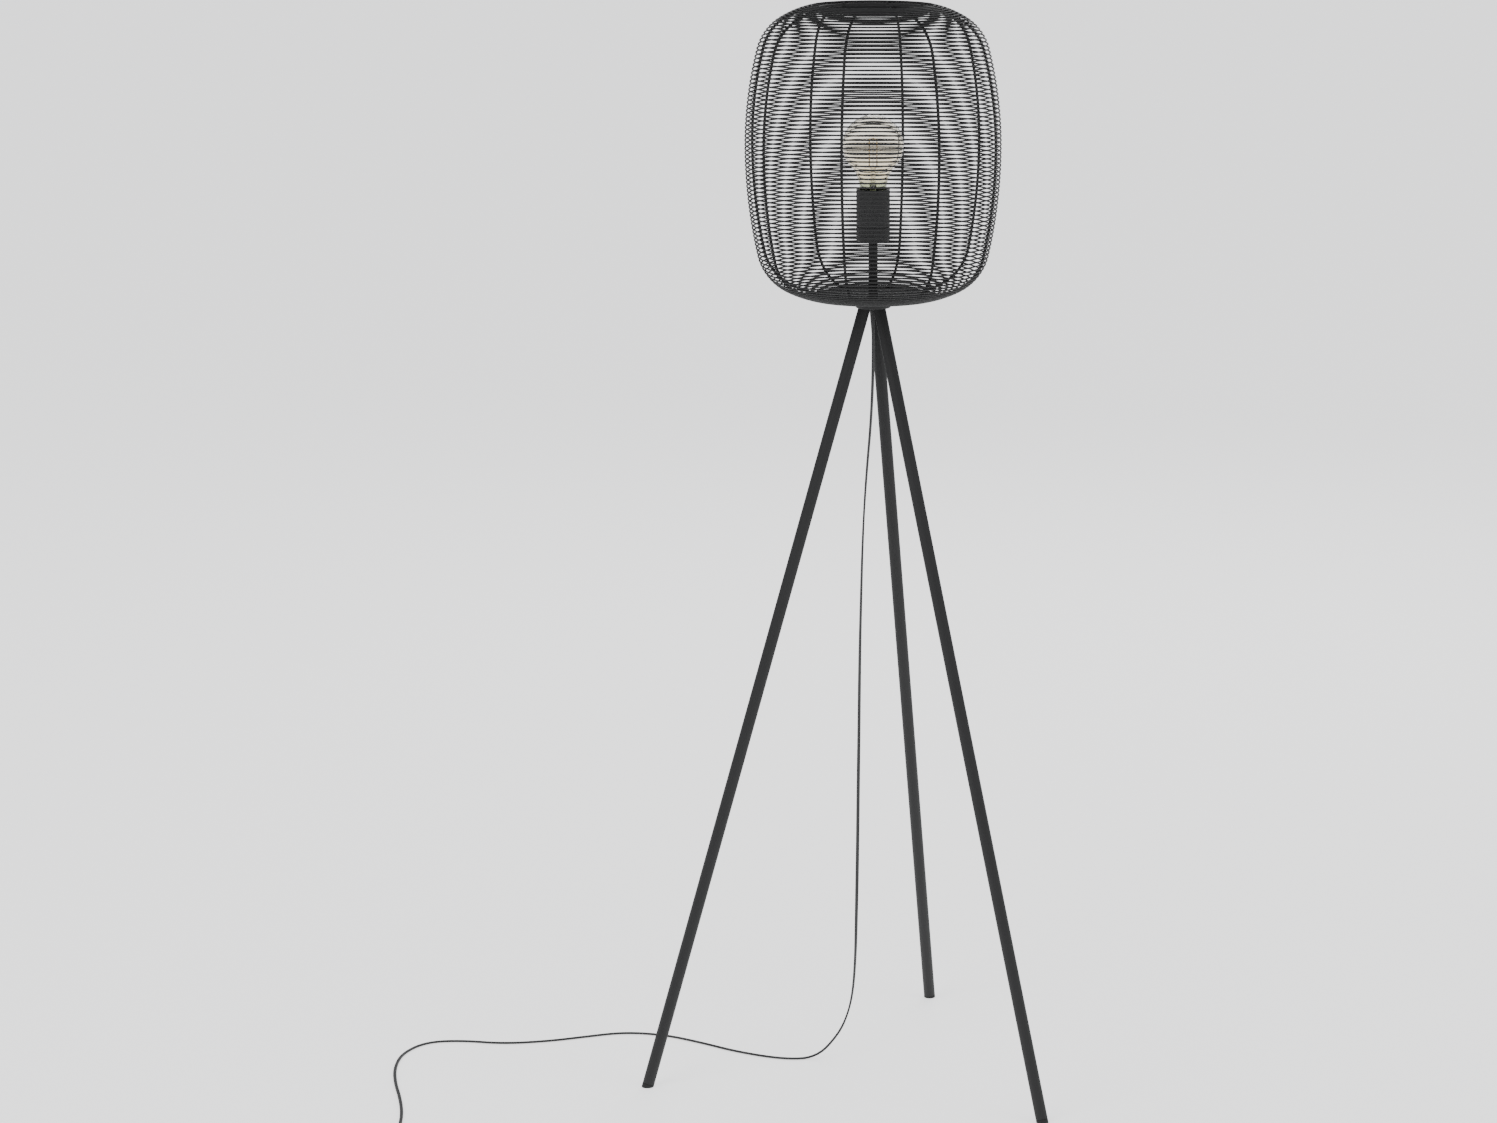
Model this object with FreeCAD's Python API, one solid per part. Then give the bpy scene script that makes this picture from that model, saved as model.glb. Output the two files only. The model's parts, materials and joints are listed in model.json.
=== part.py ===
"""Wire cage floor lamp on a tripod of straight tubes, in millimetres, +Z up.

Everything is drawn round the lamp's own axis with the floor at Z = 0. At the end the whole lamp is
moved so that the origin is on the floor, at the middle of the box round its legs and cage.
"""

import FreeCAD, Part
import math
import os

V = FreeCAD.Vector
UP = V(0, 0, 1)

# ---- tripod
LEG_AZIMUTHS = {"left": 195.0, "right": 315.0, "back": 75.0}
FOOT_CIRCLE_RADIUS = 314.8  # from the lamp's axis to a leg's axis, on the floor
LEG_TOP_RADIUS = 11.7  # the same, where the leg meets the hub
HUB_UNDERSIDE = 1048.0
LEG_RADIUS = 8.0
LEG_WALL = 1.0
FOOT_LENGTH = 5.0  # of a foot below its tube, along the leg
FOOT_PLUG_LENGTH = 12.0
INSERT_LENGTH = 22.0
STUD_RADIUS = 3.0
STUD_IN_HUB = 8.5
STUD_IN_LEG = 18.0

# ---- hub, plate and stem
HUB_HEIGHT = 13.0
HUB_RADIUS = 23.0
HUB_LOWER_RADIUS = 18.5
HUB_TAPER_HEIGHT = 6.0
ROD_RADIUS = 5.0
ROD_BORE_RADIUS = 3.6
ROD_IN_HUB = 8.0
PLATE_RADIUS = 84.0
PLATE_THICKNESS = 2.0
WASHER_RADIUS = 9.0
WASHER_THICKNESS = 1.0
STEM_RADIUS = 6.0
STEM_BORE_RADIUS = 5.2
STEM_LENGTH = 72.0

# ---- wire cage: its profile runs up from the plate's rim in tangent arcs, each written as its radius,
# the angle from the vertical at which it ends, counted from the widest ring, and its number of chords
WIDEST_RADIUS = 166.5
LOWER_ARCS = [(646.0, 12.7, 3), (66.3, 63.9, 5), (136.0, None, 2)]
UPPER_ARCS = [(506.0, 14.5, 3), (64.8, 58.2, 5), (127.0, None, 3)]
CAGE_FOOT_RADIUS = 84.0
RIB_COUNT = 8
RIB_AZIMUTH = 75.9
RIB_THICKNESS = 2.8
RIB_TIP = 2.5  # of a rib past the middle of the mouth ring
RIB_FOOT = 6.0  # of a rib lying flat on the plate's rim
MOUTH_RING_RADIUS = 75.0
MOUTH_RING_THICKNESS = 4.0
MOUTH_RING_SIDES = 24
WIRE_COUNT = 84
WIRE_BANDS = 6
WIRE_INNER = 0.9  # from the middle of a wire, where the profile above lies, to the ribs
WIRE_DEPTH = 2.0
WIRE_HALF_WIDTH = 1.3
FIRST_WIRE = 7.5  # from the ribs' tips to the first wire, along the profile
LAST_WIRE = 2.5  # from the last wire to the cage's foot
CHORDS_PER_BAY = 2  # straight chords of a wire between two ribs

# ---- lampholder
HOLDER_RADIUS = 22.0
HOLDER_WALL = 1.8
HOLDER_CAP_HEIGHT = 20.0
HOLDER_CAP_FLOOR = 3.0
HOLDER_CHAMFER = 2.5
SKIRT_HEIGHT = 49.0
SKIRT_LAP = 6.0  # of the skirt's spigot inside the cap
HOLDER_NUT_ACROSS_CORNERS = 16.0
HOLDER_NUT_HEIGHT = 4.0
CORE_HEIGHT = 10.0
SHELL_WALL = 0.5
TERMINAL_SPACING = 20.0
TERMINAL_RADIUS = 2.5
TERMINAL_LENGTH = 6.0

# ---- bulb
GLOBE_RADIUS = 40.0
GLOBE_ABOVE_HOLDER = 57.0  # from the holder's rim to the globe's middle
GLASS_WALL = 0.9
NECK_RADIUS = 16.5
NECK_SINK = 4.0  # of the glass neck below the holder's rim
CAP_RADIUS = 13.2
CAP_LENGTH = 20.0
CAP_WALL = 0.5
INSULATOR_HEIGHT = 3.0
TIP_RADIUS = 4.6
TIP_HEIGHT = 1.6
GLASS_SIDES = 24
FILAMENT_COUNT = 4
FILAMENT_CIRCLE = 7.0
FILAMENT_RADIUS = 1.0
FILAMENT_LENGTH = 38.0
MOUNT_RADIUS = 5.5
MOUNT_HEIGHT = 30.0

# ---- cord
CORD_RADIUS = 2.4
CORD_SIDES = 4
FLOOR_GAP = 0.1
BUSH_WALL = 0.9
COIL_HALF_TURNS = 2  # in each of its two layers
COIL_ACROSS = 11.0  # cord diameters, at the middle of the turns
COIL_TURN_GAP = 0.5
COIL_LEAD = 20.0  # straight, before the first half turn
COIL_TAIL = 16.0
HANGING_ROUTE = [
    (0, 0, 1048),
    (0.3, 1.7, 1000),
    (-0.4, 3.4, 948),
    (-3, 5.6, 892),
    (-8, 7.4, 834),
    (-12, 9.7, 776),
    (-14.5, 11.6, 716),
    (-16.1, 14, 654),
    (-17.6, 16, 590),
    (-18.5, 18.5, 525),
    (-19.2, 20.6, 460),
    (-20.1, 23.1, 395),
    (-20.8, 25.2, 330),
    (-21.7, 27.6, 266),
    (-22.9, 29.6, 204),
    (-24.2, 31.8, 146),
    (-27.5, 33.6, 97),
    (-34.7, 35, 63.6),
    (-47.6, 35.5, 34.4),
]
FLOOR_ROUTE = [  # along the floor, at the height of a cord that lies on it
    (-77.4, 33),
    (-122, 26),
    (-186, 56),
    (-240, 97),
    (-292, 130),
    (-350, 141),
    (-404, 121),
    (-455, 102),
    (-516, 92),
    (-572, 105),
    (-622, 99),
    (-650, 52),
    (-654, -8),
    (-646, -70),
    (-632, -132),
    (-622, -195),
    (-620, -248),
    (-609, -288),
]
LEAD_RUNS = (17.0, 20.0, 14.0)  # of the cord between foot switch and coil

# ---- foot switch: its end faces are square to the cord, which lies along X there
SWITCH_INLET = (-554.0, -305.0)
SWITCH_CORD_HEIGHT = 6.0
SWITCH_CORD_INSIDE = 3.0  # of the cord beyond the switch's end face
SWITCH_CORD_BEND = 28.0  # from the end face to the cord's last bend
SWITCH_LENGTH = 62.0
SWITCH_WIDTH = 34.0
SWITCH_BASE_HEIGHT = 8.0
SWITCH_COVER_HEIGHT = 9.0
SWITCH_WALL = 2.0
SWITCH_CORNER = 9.0
SWITCH_TAPER = 2.5
BUTTON_RADIUS = 8.0
BUTTON_ABOVE_COVER = 2.8
BUTTON_TRAVEL = 2.5
BUTTON_FLANGE = 1.6
PLUNGER_RADIUS = 3.0
PLUNGER_LENGTH = 2.2
CONTACT_LENGTH = 28.0
CONTACT_WIDTH = 18.0
SCREW_SPACING = 40.0
SCREW_RADIUS = 1.5
SCREW_HEAD_RADIUS = 3.0
SCREW_HEAD_HEIGHT = 2.0
SCREW_SINK = 0.6
SCREW_GRIP = 5.0
POST_RADIUS = 4.2

# ---- plug
PLUG_WIDTH = 35.0
PLUG_LENGTH = 36.0
PLUG_NECK_LENGTH = 25.0
PLUG_THICKNESS = 15.2
PLUG_REAR_WIDTH = 15.0
PLUG_TAPER_LENGTH = 18.0
PLUG_NECK_RADIUS = 3.8
PLUG_NECK_WIDE = 5.4
PIN_RADIUS = 2.0
PIN_SHANK_RADIUS = 1.3  # of the thinner stretch that is moulded into the plug's body
PIN_LENGTH = 19.0
PIN_NECK = 0.5  # of that thinner stretch in front of the body
PIN_SPACING = 18.6
PIN_IN_BODY = 8.0

# ---- roundness of the larger turned pieces, as their number of flat sides
ROUND_SIDES = 36

# ---- clearances
SEAT_GAP = 0.05  # between pieces that are pressed, clamped, welded or screwed together
FIT_GAP = 0.2  # round a piece that is pushed into another
RUN_GAP = 0.3  # round a piece that moves


# ---- shapes used by several pieces
def tube(start, direction, outer, inner, length):
    """A round tube, or a rod where inner is 0."""
    solid = Part.makeCylinder(outer, length, start, direction)
    if inner > 0:
        solid = solid.cut(Part.makeCylinder(inner, length, start, direction))
    return solid


def bar(start, direction, radius, length, sides=12):
    """A rod with flat sides, for round pieces and holes that are hidden; its corners lie at radius."""
    corners = ring_section(start, direction, radius, sides)
    return Part.Face(Part.makePolygon(corners + corners[:1])).extrude(direction * length)


def pipe(start, direction, outer, inner, length, sides=12):
    """A tube with flat sides."""
    return bar(start, direction, outer, length, sides).cut(bar(start, direction, inner, length, sides))


def ring_section(start, direction, radius, sides):
    """Corners of a regular polygon across a direction; the first one lies level with its middle."""
    level = V(1, 0, 0) if direction.cross(UP).Length < 0.2 else direction.cross(UP).normalize()
    up = level.cross(direction).normalize()
    level = direction.cross(up).normalize()
    angles = [2 * math.pi * i / sides for i in range(sides)]
    return [start + level * (radius * math.cos(a)) + up * (radius * math.sin(a)) for a in angles]


def turned(points, centre=V(0, 0, 0)):
    """A solid turned round the vertical through centre, from (radius, height) points."""
    outline = Part.makePolygon([centre + V(r, 0, z) for r, z in points + points[:1]])
    return Part.Face(outline).revolve(centre, UP, 360)


def polygon_points(radius, height, sides, first_angle=0.0, centre=V(0, 0, 0)):
    """Corners of a level regular polygon."""
    angles = [math.radians(first_angle + 360.0 * i / sides) for i in range(sides)]
    return [centre + V(radius * math.cos(a), radius * math.sin(a), height) for a in angles]


def prism(corners, height):
    """A straight prism that stands on level corners."""
    return Part.Face(Part.makePolygon(corners + corners[:1])).extrude(V(0, 0, height))


def solid_from_rings(rings, closed):
    """A solid of flat faces through rings of points, which all have the same count. The last ring is
    joined to the first where closed is true, and the two ends are capped otherwise."""
    count = len(rings[0])
    faces = []
    pairs = list(zip(rings, rings[1:] + rings[:1])) if closed else list(zip(rings, rings[1:]))
    for low, high in pairs:
        for i in range(count):
            j = (i + 1) % count
            faces.append(Part.Face(Part.makePolygon([low[i], low[j], high[j], high[i], low[i]])))
    if not closed:
        for ring in (rings[0], rings[-1]):
            faces.append(Part.Face(Part.makePolygon(ring + ring[:1])))
    solid = Part.Solid(Part.Shell(faces))
    if solid.Volume < 0:
        solid.reverse()
    return solid


def group(solids):
    """Separate solids kept in one node."""
    return Part.makeCompound(solids)


# ---- heights that follow from the sizes above
plate_bottom = HUB_UNDERSIDE + HUB_HEIGHT
plate_top = plate_bottom + PLATE_THICKNESS
holder_bottom = plate_top + STEM_LENGTH
cap_top = holder_bottom + HOLDER_CAP_HEIGHT
holder_inner = HOLDER_RADIUS - HOLDER_WALL
skirt_bore = holder_inner - FIT_GAP - HOLDER_WALL
holder_rim = cap_top + SKIRT_HEIGHT
globe_height = holder_rim + GLOBE_ABOVE_HOLDER
glass_bottom = holder_rim - NECK_SINK
bulb_cap_bottom = glass_bottom - CAP_LENGTH
bulb_tip_bottom = bulb_cap_bottom - INSULATOR_HEIGHT - TIP_HEIGHT
core_top = bulb_tip_bottom - 2.5
core_bottom = core_top - CORE_HEIGHT
bush_radius = CORD_RADIUS + FIT_GAP + BUSH_WALL
cord_on_floor = CORD_RADIUS + FLOOR_GAP
cord_pitch = 2 * CORD_RADIUS + COIL_TURN_GAP


# ---- tripod
def leg_frame(azimuth):
    """The point of a leg's axis on the floor, and the unit vector up the leg."""
    around = V(math.cos(math.radians(azimuth)), math.sin(math.radians(azimuth)), 0)
    on_floor = around * FOOT_CIRCLE_RADIUS
    at_hub = around * LEG_TOP_RADIUS + UP * HUB_UNDERSIDE
    return on_floor, at_hub, (at_hub - on_floor).normalize()


def slab(low, high):
    """A wide level slab between two heights, to cut level ends with."""
    side = 4 * FOOT_CIRCLE_RADIUS
    return Part.makeBox(side, side, high - low, V(-side / 2, -side / 2, low))


def leg_tube(azimuth):
    on_floor, at_hub, along = leg_frame(azimuth)
    length = (at_hub - on_floor).Length - FOOT_LENGTH
    long_tube = tube(on_floor + along * FOOT_LENGTH, along, LEG_RADIUS, LEG_RADIUS - LEG_WALL, length + LEG_RADIUS)
    return long_tube.cut(slab(HUB_UNDERSIDE - SEAT_GAP, HUB_UNDERSIDE + HUB_HEIGHT))


def leg_insert(azimuth):
    """The threaded piece pressed into the top of a leg."""
    _, at_hub, along = leg_frame(azimuth)
    start = at_hub - along * INSERT_LENGTH
    radius = LEG_RADIUS - LEG_WALL - SEAT_GAP
    piece = pipe(start, along, radius, STUD_RADIUS + SEAT_GAP, INSERT_LENGTH + LEG_RADIUS)
    return piece.cut(slab(HUB_UNDERSIDE - SEAT_GAP, HUB_UNDERSIDE + HUB_HEIGHT))


def leg_stud(azimuth):
    _, at_hub, along = leg_frame(azimuth)
    return bar(at_hub - along * STUD_IN_LEG, along, STUD_RADIUS, STUD_IN_LEG + STUD_IN_HUB)


def foot(azimuth):
    """A plastic foot: a plug inside the tube and a head that is cut level with the floor."""
    on_floor, _, along = leg_frame(azimuth)
    head_length = FOOT_LENGTH - SEAT_GAP
    head = tube(on_floor - along * LEG_RADIUS, along, LEG_RADIUS, 0, LEG_RADIUS + head_length)
    plug_radius = LEG_RADIUS - LEG_WALL - SEAT_GAP
    plug = bar(on_floor, along, plug_radius, FOOT_LENGTH + FOOT_PLUG_LENGTH)
    return head.fuse(plug).removeSplitter().cut(slab(-2 * LEG_RADIUS, 0))


def hub():
    """The turned block that the legs screw into, bored for the cord below and the rod above."""
    taper_top = HUB_UNDERSIDE + HUB_TAPER_HEIGHT
    outline = [(HUB_LOWER_RADIUS, HUB_UNDERSIDE), (HUB_RADIUS, taper_top), (HUB_RADIUS, plate_bottom)]
    body = faceted_round(outline, ROUND_SIDES)
    rod_end = plate_bottom - ROD_IN_HUB
    recess = WASHER_THICKNESS + SEAT_GAP
    holes = [
        bar(V(0, 0, HUB_UNDERSIDE), UP, bush_radius + SEAT_GAP, HUB_HEIGHT - ROD_IN_HUB),
        bar(V(0, 0, rod_end), UP, ROD_RADIUS + SEAT_GAP, ROD_IN_HUB),
        bar(V(0, 0, plate_bottom - recess), UP, WASHER_RADIUS + FIT_GAP, recess),
    ]
    for azimuth in LEG_AZIMUTHS.values():
        _, at_hub, along = leg_frame(azimuth)
        start = at_hub - along * LEG_RADIUS
        holes.append(bar(start, along, STUD_RADIUS + SEAT_GAP, LEG_RADIUS + STUD_IN_HUB + RUN_GAP))
    return body.cut(holes)


def washer():
    """The toothed washer between hub and plate, drawn as a flat ring."""
    low = plate_bottom - WASHER_THICKNESS
    hole = ROD_RADIUS + FIT_GAP
    return pipe(V(0, 0, low), UP, WASHER_RADIUS, hole, WASHER_THICKNESS - SEAT_GAP)


def threaded_rod():
    """The hollow rod that clamps hub, plate, stem and lampholder together, with the cord inside."""
    low = plate_bottom - ROD_IN_HUB + SEAT_GAP
    high = holder_bottom + HOLDER_CAP_FLOOR + HOLDER_NUT_HEIGHT + 1.0
    return pipe(V(0, 0, low), UP, ROD_RADIUS, ROD_BORE_RADIUS, high - low)


def plate():
    hole = ROD_RADIUS + FIT_GAP
    return tube(V(0, 0, plate_bottom + SEAT_GAP), UP, PLATE_RADIUS, hole, PLATE_THICKNESS - SEAT_GAP)


def stem():
    low = plate_top + SEAT_GAP
    return pipe(V(0, 0, low), UP, STEM_RADIUS, STEM_BORE_RADIUS, STEM_LENGTH - 2 * SEAT_GAP, 24)


# ---- wire cage
class Profile:
    """The side view of the ribs' outer faces, from the cage's mouth down to its foot: tangent arcs, each
    drawn as a few equal chords. Points are (radius, height), and places on it are found by distance."""

    def __init__(self, inwards, mouth_radius, foot_radius, widest_height=0.0):
        upper = self.chain(UPPER_ARCS, 1, inwards, mouth_radius, widest_height)
        lower = self.chain(LOWER_ARCS, -1, inwards, foot_radius, widest_height)
        self.arcs = [(c, r, s, a1, a0, n) for c, r, s, a0, a1, n in reversed(upper)] + lower
        self.points = self.corners(0.0)
        self.steps = [math.dist(a, b) for a, b in zip(self.points, self.points[1:])]
        self.length = sum(self.steps)

    @staticmethod
    def chain(arcs, side, inwards, end_radius, widest_height):
        """Tangent arcs from the widest ring up (side 1) or down (side -1)."""
        out = []
        at = (WIDEST_RADIUS - inwards, widest_height)
        angle = 0.0
        for radius, end_angle, chords in arcs:
            radius -= inwards
            centre = (at[0] - radius * math.cos(angle), at[1] - side * radius * math.sin(angle))
            if end_angle is None:
                end = math.acos((end_radius - centre[0]) / radius)
            else:
                end = math.radians(end_angle)
            out.append((centre, radius, side, angle, end, chords))
            at = (centre[0] + radius * math.cos(end), centre[1] + side * radius * math.sin(end))
            angle = end
        return out

    def corners(self, outwards):
        """The corners of the chords, moved outwards."""
        points = []
        for centre, radius, side, first, last, chords in self.arcs:
            for i in range(chords + 1):
                angle = first + (last - first) * i / chords
                reach = radius + outwards
                point = (centre[0] + reach * math.cos(angle), centre[1] + side * reach * math.sin(angle))
                if not points or math.dist(points[-1], point) > 0.01:
                    points.append(point)
        return points

    def at(self, distance):
        """The point at a distance from the mouth, and the unit vectors outwards and along."""
        for a, b, step in zip(self.points, self.points[1:], self.steps):
            if distance <= step or b is self.points[-1]:
                along = ((b[0] - a[0]) / step, (b[1] - a[1]) / step)
                return (a[0] + along[0] * distance, a[1] + along[1] * distance), (-along[1], along[0]), along
            distance -= step


def cage_profile():
    """The profile at the height where the ribs' feet lie on the plate."""
    tip_radius = MOUTH_RING_RADIUS - RIB_TIP
    flat = Profile(WIRE_INNER + SEAT_GAP, tip_radius, CAGE_FOOT_RADIUS)
    widest = plate_top + SEAT_GAP - flat.points[-1][1]
    return Profile(WIRE_INNER + SEAT_GAP, tip_radius, CAGE_FOOT_RADIUS, widest)


def rib(profile, azimuth):
    """A rib: a band between two copies of the profile, with a level foot on the plate."""
    outer = [V(r, 0, z) for r, z in profile.points]
    inner = [V(r, 0, z) for r, z in profile.corners(-RIB_THICKNESS)]
    foot_in = CAGE_FOOT_RADIUS - RIB_FOOT
    foot_level = outer[-1].z
    foot = [V(foot_in, 0, foot_level), V(foot_in, 0, foot_level + RIB_THICKNESS)]
    corners = outer + foot + inner[::-1]
    solid = Part.Face(Part.makePolygon(corners + corners[:1])).extrude(V(0, RIB_THICKNESS, 0))
    solid.translate(V(0, -RIB_THICKNESS / 2, 0))
    solid.rotate(V(0, 0, 0), UP, azimuth)
    return solid


def round_of_chords(section, sides, first_angle):
    """A closed ring of straight bars with mitred ends, from the (radius, height) points of its section.
    The bars' middles are at the section's own radius, and the corners lie a little further out."""
    half_turn = math.pi / sides
    rings = []
    for i in range(sides):
        a = math.radians(first_angle) + (2 * i + 1) * half_turn
        rings.append([V(r / math.cos(half_turn) * math.cos(a), r / math.cos(half_turn) * math.sin(a), z) for r, z in section])
    return solid_from_rings(rings, closed=True)


def wire_ring(profile, distance):
    """One wire, laid round the outside of the ribs, with its flat side to them."""
    (radius, height), outwards, along = profile.at(distance)
    section = []
    for out, side in ((SEAT_GAP, -WIRE_HALF_WIDTH), (SEAT_GAP, WIRE_HALF_WIDTH), (SEAT_GAP + WIRE_DEPTH, 0)):
        section.append((radius + out * outwards[0] + side * along[0], height + out * outwards[1] + side * along[1]))
    return round_of_chords(section, CHORDS_PER_BAY * RIB_COUNT, RIB_AZIMUTH)


def mouth_ring(profile):
    """The thicker ring under the ribs' upper ends, round the open mouth."""
    half = MOUTH_RING_THICKNESS / 2
    _, outwards, _ = profile.at(0)
    tip_height = profile.points[0][1]
    slope = outwards[0] / outwards[1]
    height = tip_height - (RIB_TIP + half) * slope - (RIB_THICKNESS + SEAT_GAP) / outwards[1] - half
    section = []
    for out, side in ((half, -half), (half, half), (-half, half), (-half, -half)):
        section.append((MOUTH_RING_RADIUS + side, height + out))
    return round_of_chords(section, MOUTH_RING_SIDES, RIB_AZIMUTH)


# ---- lampholder
def holder_cap():
    """The cup at the bottom of the lampholder, with a chamfered edge and a hole for the rod."""
    chamfer_top = holder_bottom + HOLDER_CHAMFER
    outline = [(HOLDER_RADIUS - HOLDER_CHAMFER, holder_bottom), (HOLDER_RADIUS, chamfer_top), (HOLDER_RADIUS, cap_top)]
    outside = faceted_round(outline, ROUND_SIDES)
    floor = holder_bottom + HOLDER_CAP_FLOOR
    inside = bar(V(0, 0, floor), UP, holder_inner, HOLDER_CAP_HEIGHT, GLASS_SIDES)
    return outside.cut([inside, bar(V(0, 0, holder_bottom), UP, ROD_RADIUS + SEAT_GAP, HOLDER_CAP_FLOOR)])


def holder_nut():
    """The hexagonal nut inside the cap."""
    low = holder_bottom + HOLDER_CAP_FLOOR + SEAT_GAP
    hole = bar(V(0, 0, low), UP, ROD_RADIUS + SEAT_GAP, HOLDER_NUT_HEIGHT)
    return bar(V(0, 0, low), UP, HOLDER_NUT_ACROSS_CORNERS / 2, HOLDER_NUT_HEIGHT, 6).cut(hole)


def holder_skirt():
    """The sleeve of the lampholder, with a spigot that screws into the cap."""
    low = V(0, 0, cap_top - SKIRT_LAP)
    spigot = bar(low, UP, holder_inner - FIT_GAP, SKIRT_LAP + 1.0, GLASS_SIDES)
    sleeve = bar(V(0, 0, cap_top + SEAT_GAP), UP, HOLDER_RADIUS, SKIRT_HEIGHT - SEAT_GAP, ROUND_SIDES)
    return sleeve.fuse(spigot).cut(bar(low, UP, skirt_bore, SKIRT_LAP + SKIRT_HEIGHT, GLASS_SIDES)).removeSplitter()


def holder_core():
    """The insulating block across the sleeve, which carries the contacts."""
    block = bar(V(0, 0, core_bottom), UP, skirt_bore - FIT_GAP, CORE_HEIGHT, GLASS_SIDES)
    wire_hole = bar(V(0, 0, core_bottom), UP, CORD_RADIUS + FIT_GAP, CORE_HEIGHT / 2, 8)
    return block.cut(wire_hole)


def screw_shell():
    """The metal sleeve that the bulb's cap screws into."""
    bore = CAP_RADIUS + RUN_GAP
    low = core_top + SEAT_GAP
    return pipe(V(0, 0, low), UP, bore + SHELL_WALL, bore, glass_bottom - 2.0 - low, GLASS_SIDES)


def centre_contact():
    """The springy tongue under the bulb's tip, drawn at rest."""
    low = core_top + SEAT_GAP
    high = bulb_tip_bottom - RUN_GAP
    return prism(polygon_points(TIP_RADIUS - 1.0, low, 6), high - low)


def terminal_screws():
    start = core_bottom - SEAT_GAP
    places = [V(side * TERMINAL_SPACING / 2, 0, start) for side in (-1, 1)]
    return group([bar(at, V(0, 0, -1), TERMINAL_RADIUS, TERMINAL_LENGTH, 8) for at in places])


# ---- bulb
def glass_outline(inset, step):
    """Radii and heights of the glass from its crown down to its base, moved inwards by the inset."""
    radius = GLOBE_RADIUS - inset
    points = []
    for degrees in range(75, -53, -step):
        angle = math.radians(degrees)
        points.append((radius * math.cos(angle), globe_height + radius * math.sin(angle)))
    points.append((NECK_RADIUS + 4.0 - inset, holder_rim + 12.0))
    points.append((NECK_RADIUS + 1.5 - inset, holder_rim + 4.0))
    points.append((NECK_RADIUS - inset, holder_rim - NECK_SINK / 2))
    return points


def faceted_round(points, sides):
    """A closed solid of flat faces through level polygons of the given radii and heights."""
    return solid_from_rings([polygon_points(r, z, sides) for r, z in points], closed=False)


def bulb_glass():
    outer = glass_outline(0.0, 18) + [(CAP_RADIUS, glass_bottom)]
    inner = glass_outline(GLASS_WALL, 18) + [(CAP_RADIUS - GLASS_WALL, glass_bottom - 1.0)]
    return faceted_round(outer, GLASS_SIDES).cut(faceted_round(inner, GLASS_SIDES))


def bulb_cap():
    low = bulb_cap_bottom
    high = glass_bottom - SEAT_GAP
    return pipe(V(0, 0, low), UP, CAP_RADIUS, CAP_RADIUS - CAP_WALL, high - low, GLASS_SIDES)


def bulb_insulator():
    """The tapered glass ring between the cap and the tip, with its spigot inside the cap."""
    spigot = CAP_RADIUS - CAP_WALL - SEAT_GAP
    low = bulb_cap_bottom - INSULATOR_HEIGHT
    points = [(TIP_RADIUS + 1.0, low), (CAP_RADIUS - 1.0, bulb_cap_bottom - SEAT_GAP)]
    points += [(spigot, bulb_cap_bottom), (spigot, bulb_cap_bottom + 2.0)]
    return faceted_round(points, GLASS_SIDES // 2)


def bulb_tip():
    high = bulb_cap_bottom - INSULATOR_HEIGHT - SEAT_GAP
    return faceted_round([(TIP_RADIUS - 1.4, bulb_tip_bottom), (TIP_RADIUS, high)], GLASS_SIDES // 2)


def bulb_mount():
    """The glass stem inside the bulb that carries the filaments."""
    low = bulb_cap_bottom + 2.0 + SEAT_GAP
    high = holder_rim + MOUNT_HEIGHT
    flare = CAP_RADIUS - CAP_WALL - 1.0
    return faceted_round([(flare, low), (MOUNT_RADIUS, holder_rim), (MOUNT_RADIUS - 2.0, high)], 8)


def filaments():
    """Upright filaments round the mount, each on a short bent lead from the mount's top."""
    low = holder_rim + MOUNT_HEIGHT - 2.0
    made = []
    for at in polygon_points(FILAMENT_CIRCLE, low, FILAMENT_COUNT, 45.0):
        rod = prism(polygon_points(FILAMENT_RADIUS, 0, 6, 0.0, at), FILAMENT_LENGTH)
        inner = at * 1.0
        inner.multiply(0.6)
        inner.z = low
        side = V(at.y, -at.x, 0).normalize() * 0.4
        lead = prism([inner + side, at + side, at - side, inner - side], 0.8)
        made.append(rod.fuse(lead).removeSplitter())
    return group(made)


# ---- cord
def cord_path(points):
    """Straight runs joined by tangent arcs. Each arc takes 0.45 of the shorter run beside it."""
    corners = [V(*p) for p in points]
    edges = []
    radii = []
    last = corners[0]
    for before, at, after in zip(corners, corners[1:], corners[2:]):
        come = (at - before).normalize()
        go = (after - at).normalize()
        half_turn = come.getAngle(go) / 2
        reach = 0.45 * min((at - before).Length, (after - at).Length)
        radius = reach / math.tan(half_turn)
        start = at - come * reach
        middle = at + (go - come).normalize() * (radius / math.cos(half_turn) - radius)
        end = at + go * reach
        edges.append(Part.LineSegment(last, start).toShape())
        edges.append(Part.Arc(start, middle, end).toShape())
        radii.append(radius)
        last = end
    edges.append(Part.LineSegment(last, corners[-1]).toShape())
    return edges, radii


def swept(name, edges, outline):
    """An outline swept along edges; says how its volume compares with section times length."""
    path = Part.Wire(edges)
    solid = path.makePipeShell([outline], True, False)
    expected = Part.Face(outline).Area * path.Length
    print("%s: length %.1f, volume/expected %.4f, valid %s" % (name, path.Length, solid.Volume / expected, solid.isValid()))
    return solid


def cord_piece(name, points):
    edges, radii = cord_path(points)
    print("%s: %d bends, least radius %.1f" % (name, len(radii), min(radii)))
    start = V(*points[0])
    corners = ring_section(start, (V(*points[1]) - start).normalize(), CORD_RADIUS, CORD_SIDES)
    return swept(name, edges, Part.makePolygon(corners + corners[:1]))


def hanging_cord():
    """From the hub down behind the legs, then over the floor to the foot switch."""
    floor_part = [(x, y, cord_on_floor) for x, y in FLOOR_ROUTE]
    x, y = SWITCH_INLET
    last = [(x - SWITCH_CORD_BEND, y, SWITCH_CORD_HEIGHT), (x + SWITCH_CORD_INSIDE, y, SWITCH_CORD_HEIGHT)]
    return cord_piece("cord", HANGING_ROUTE + floor_part + last)


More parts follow.
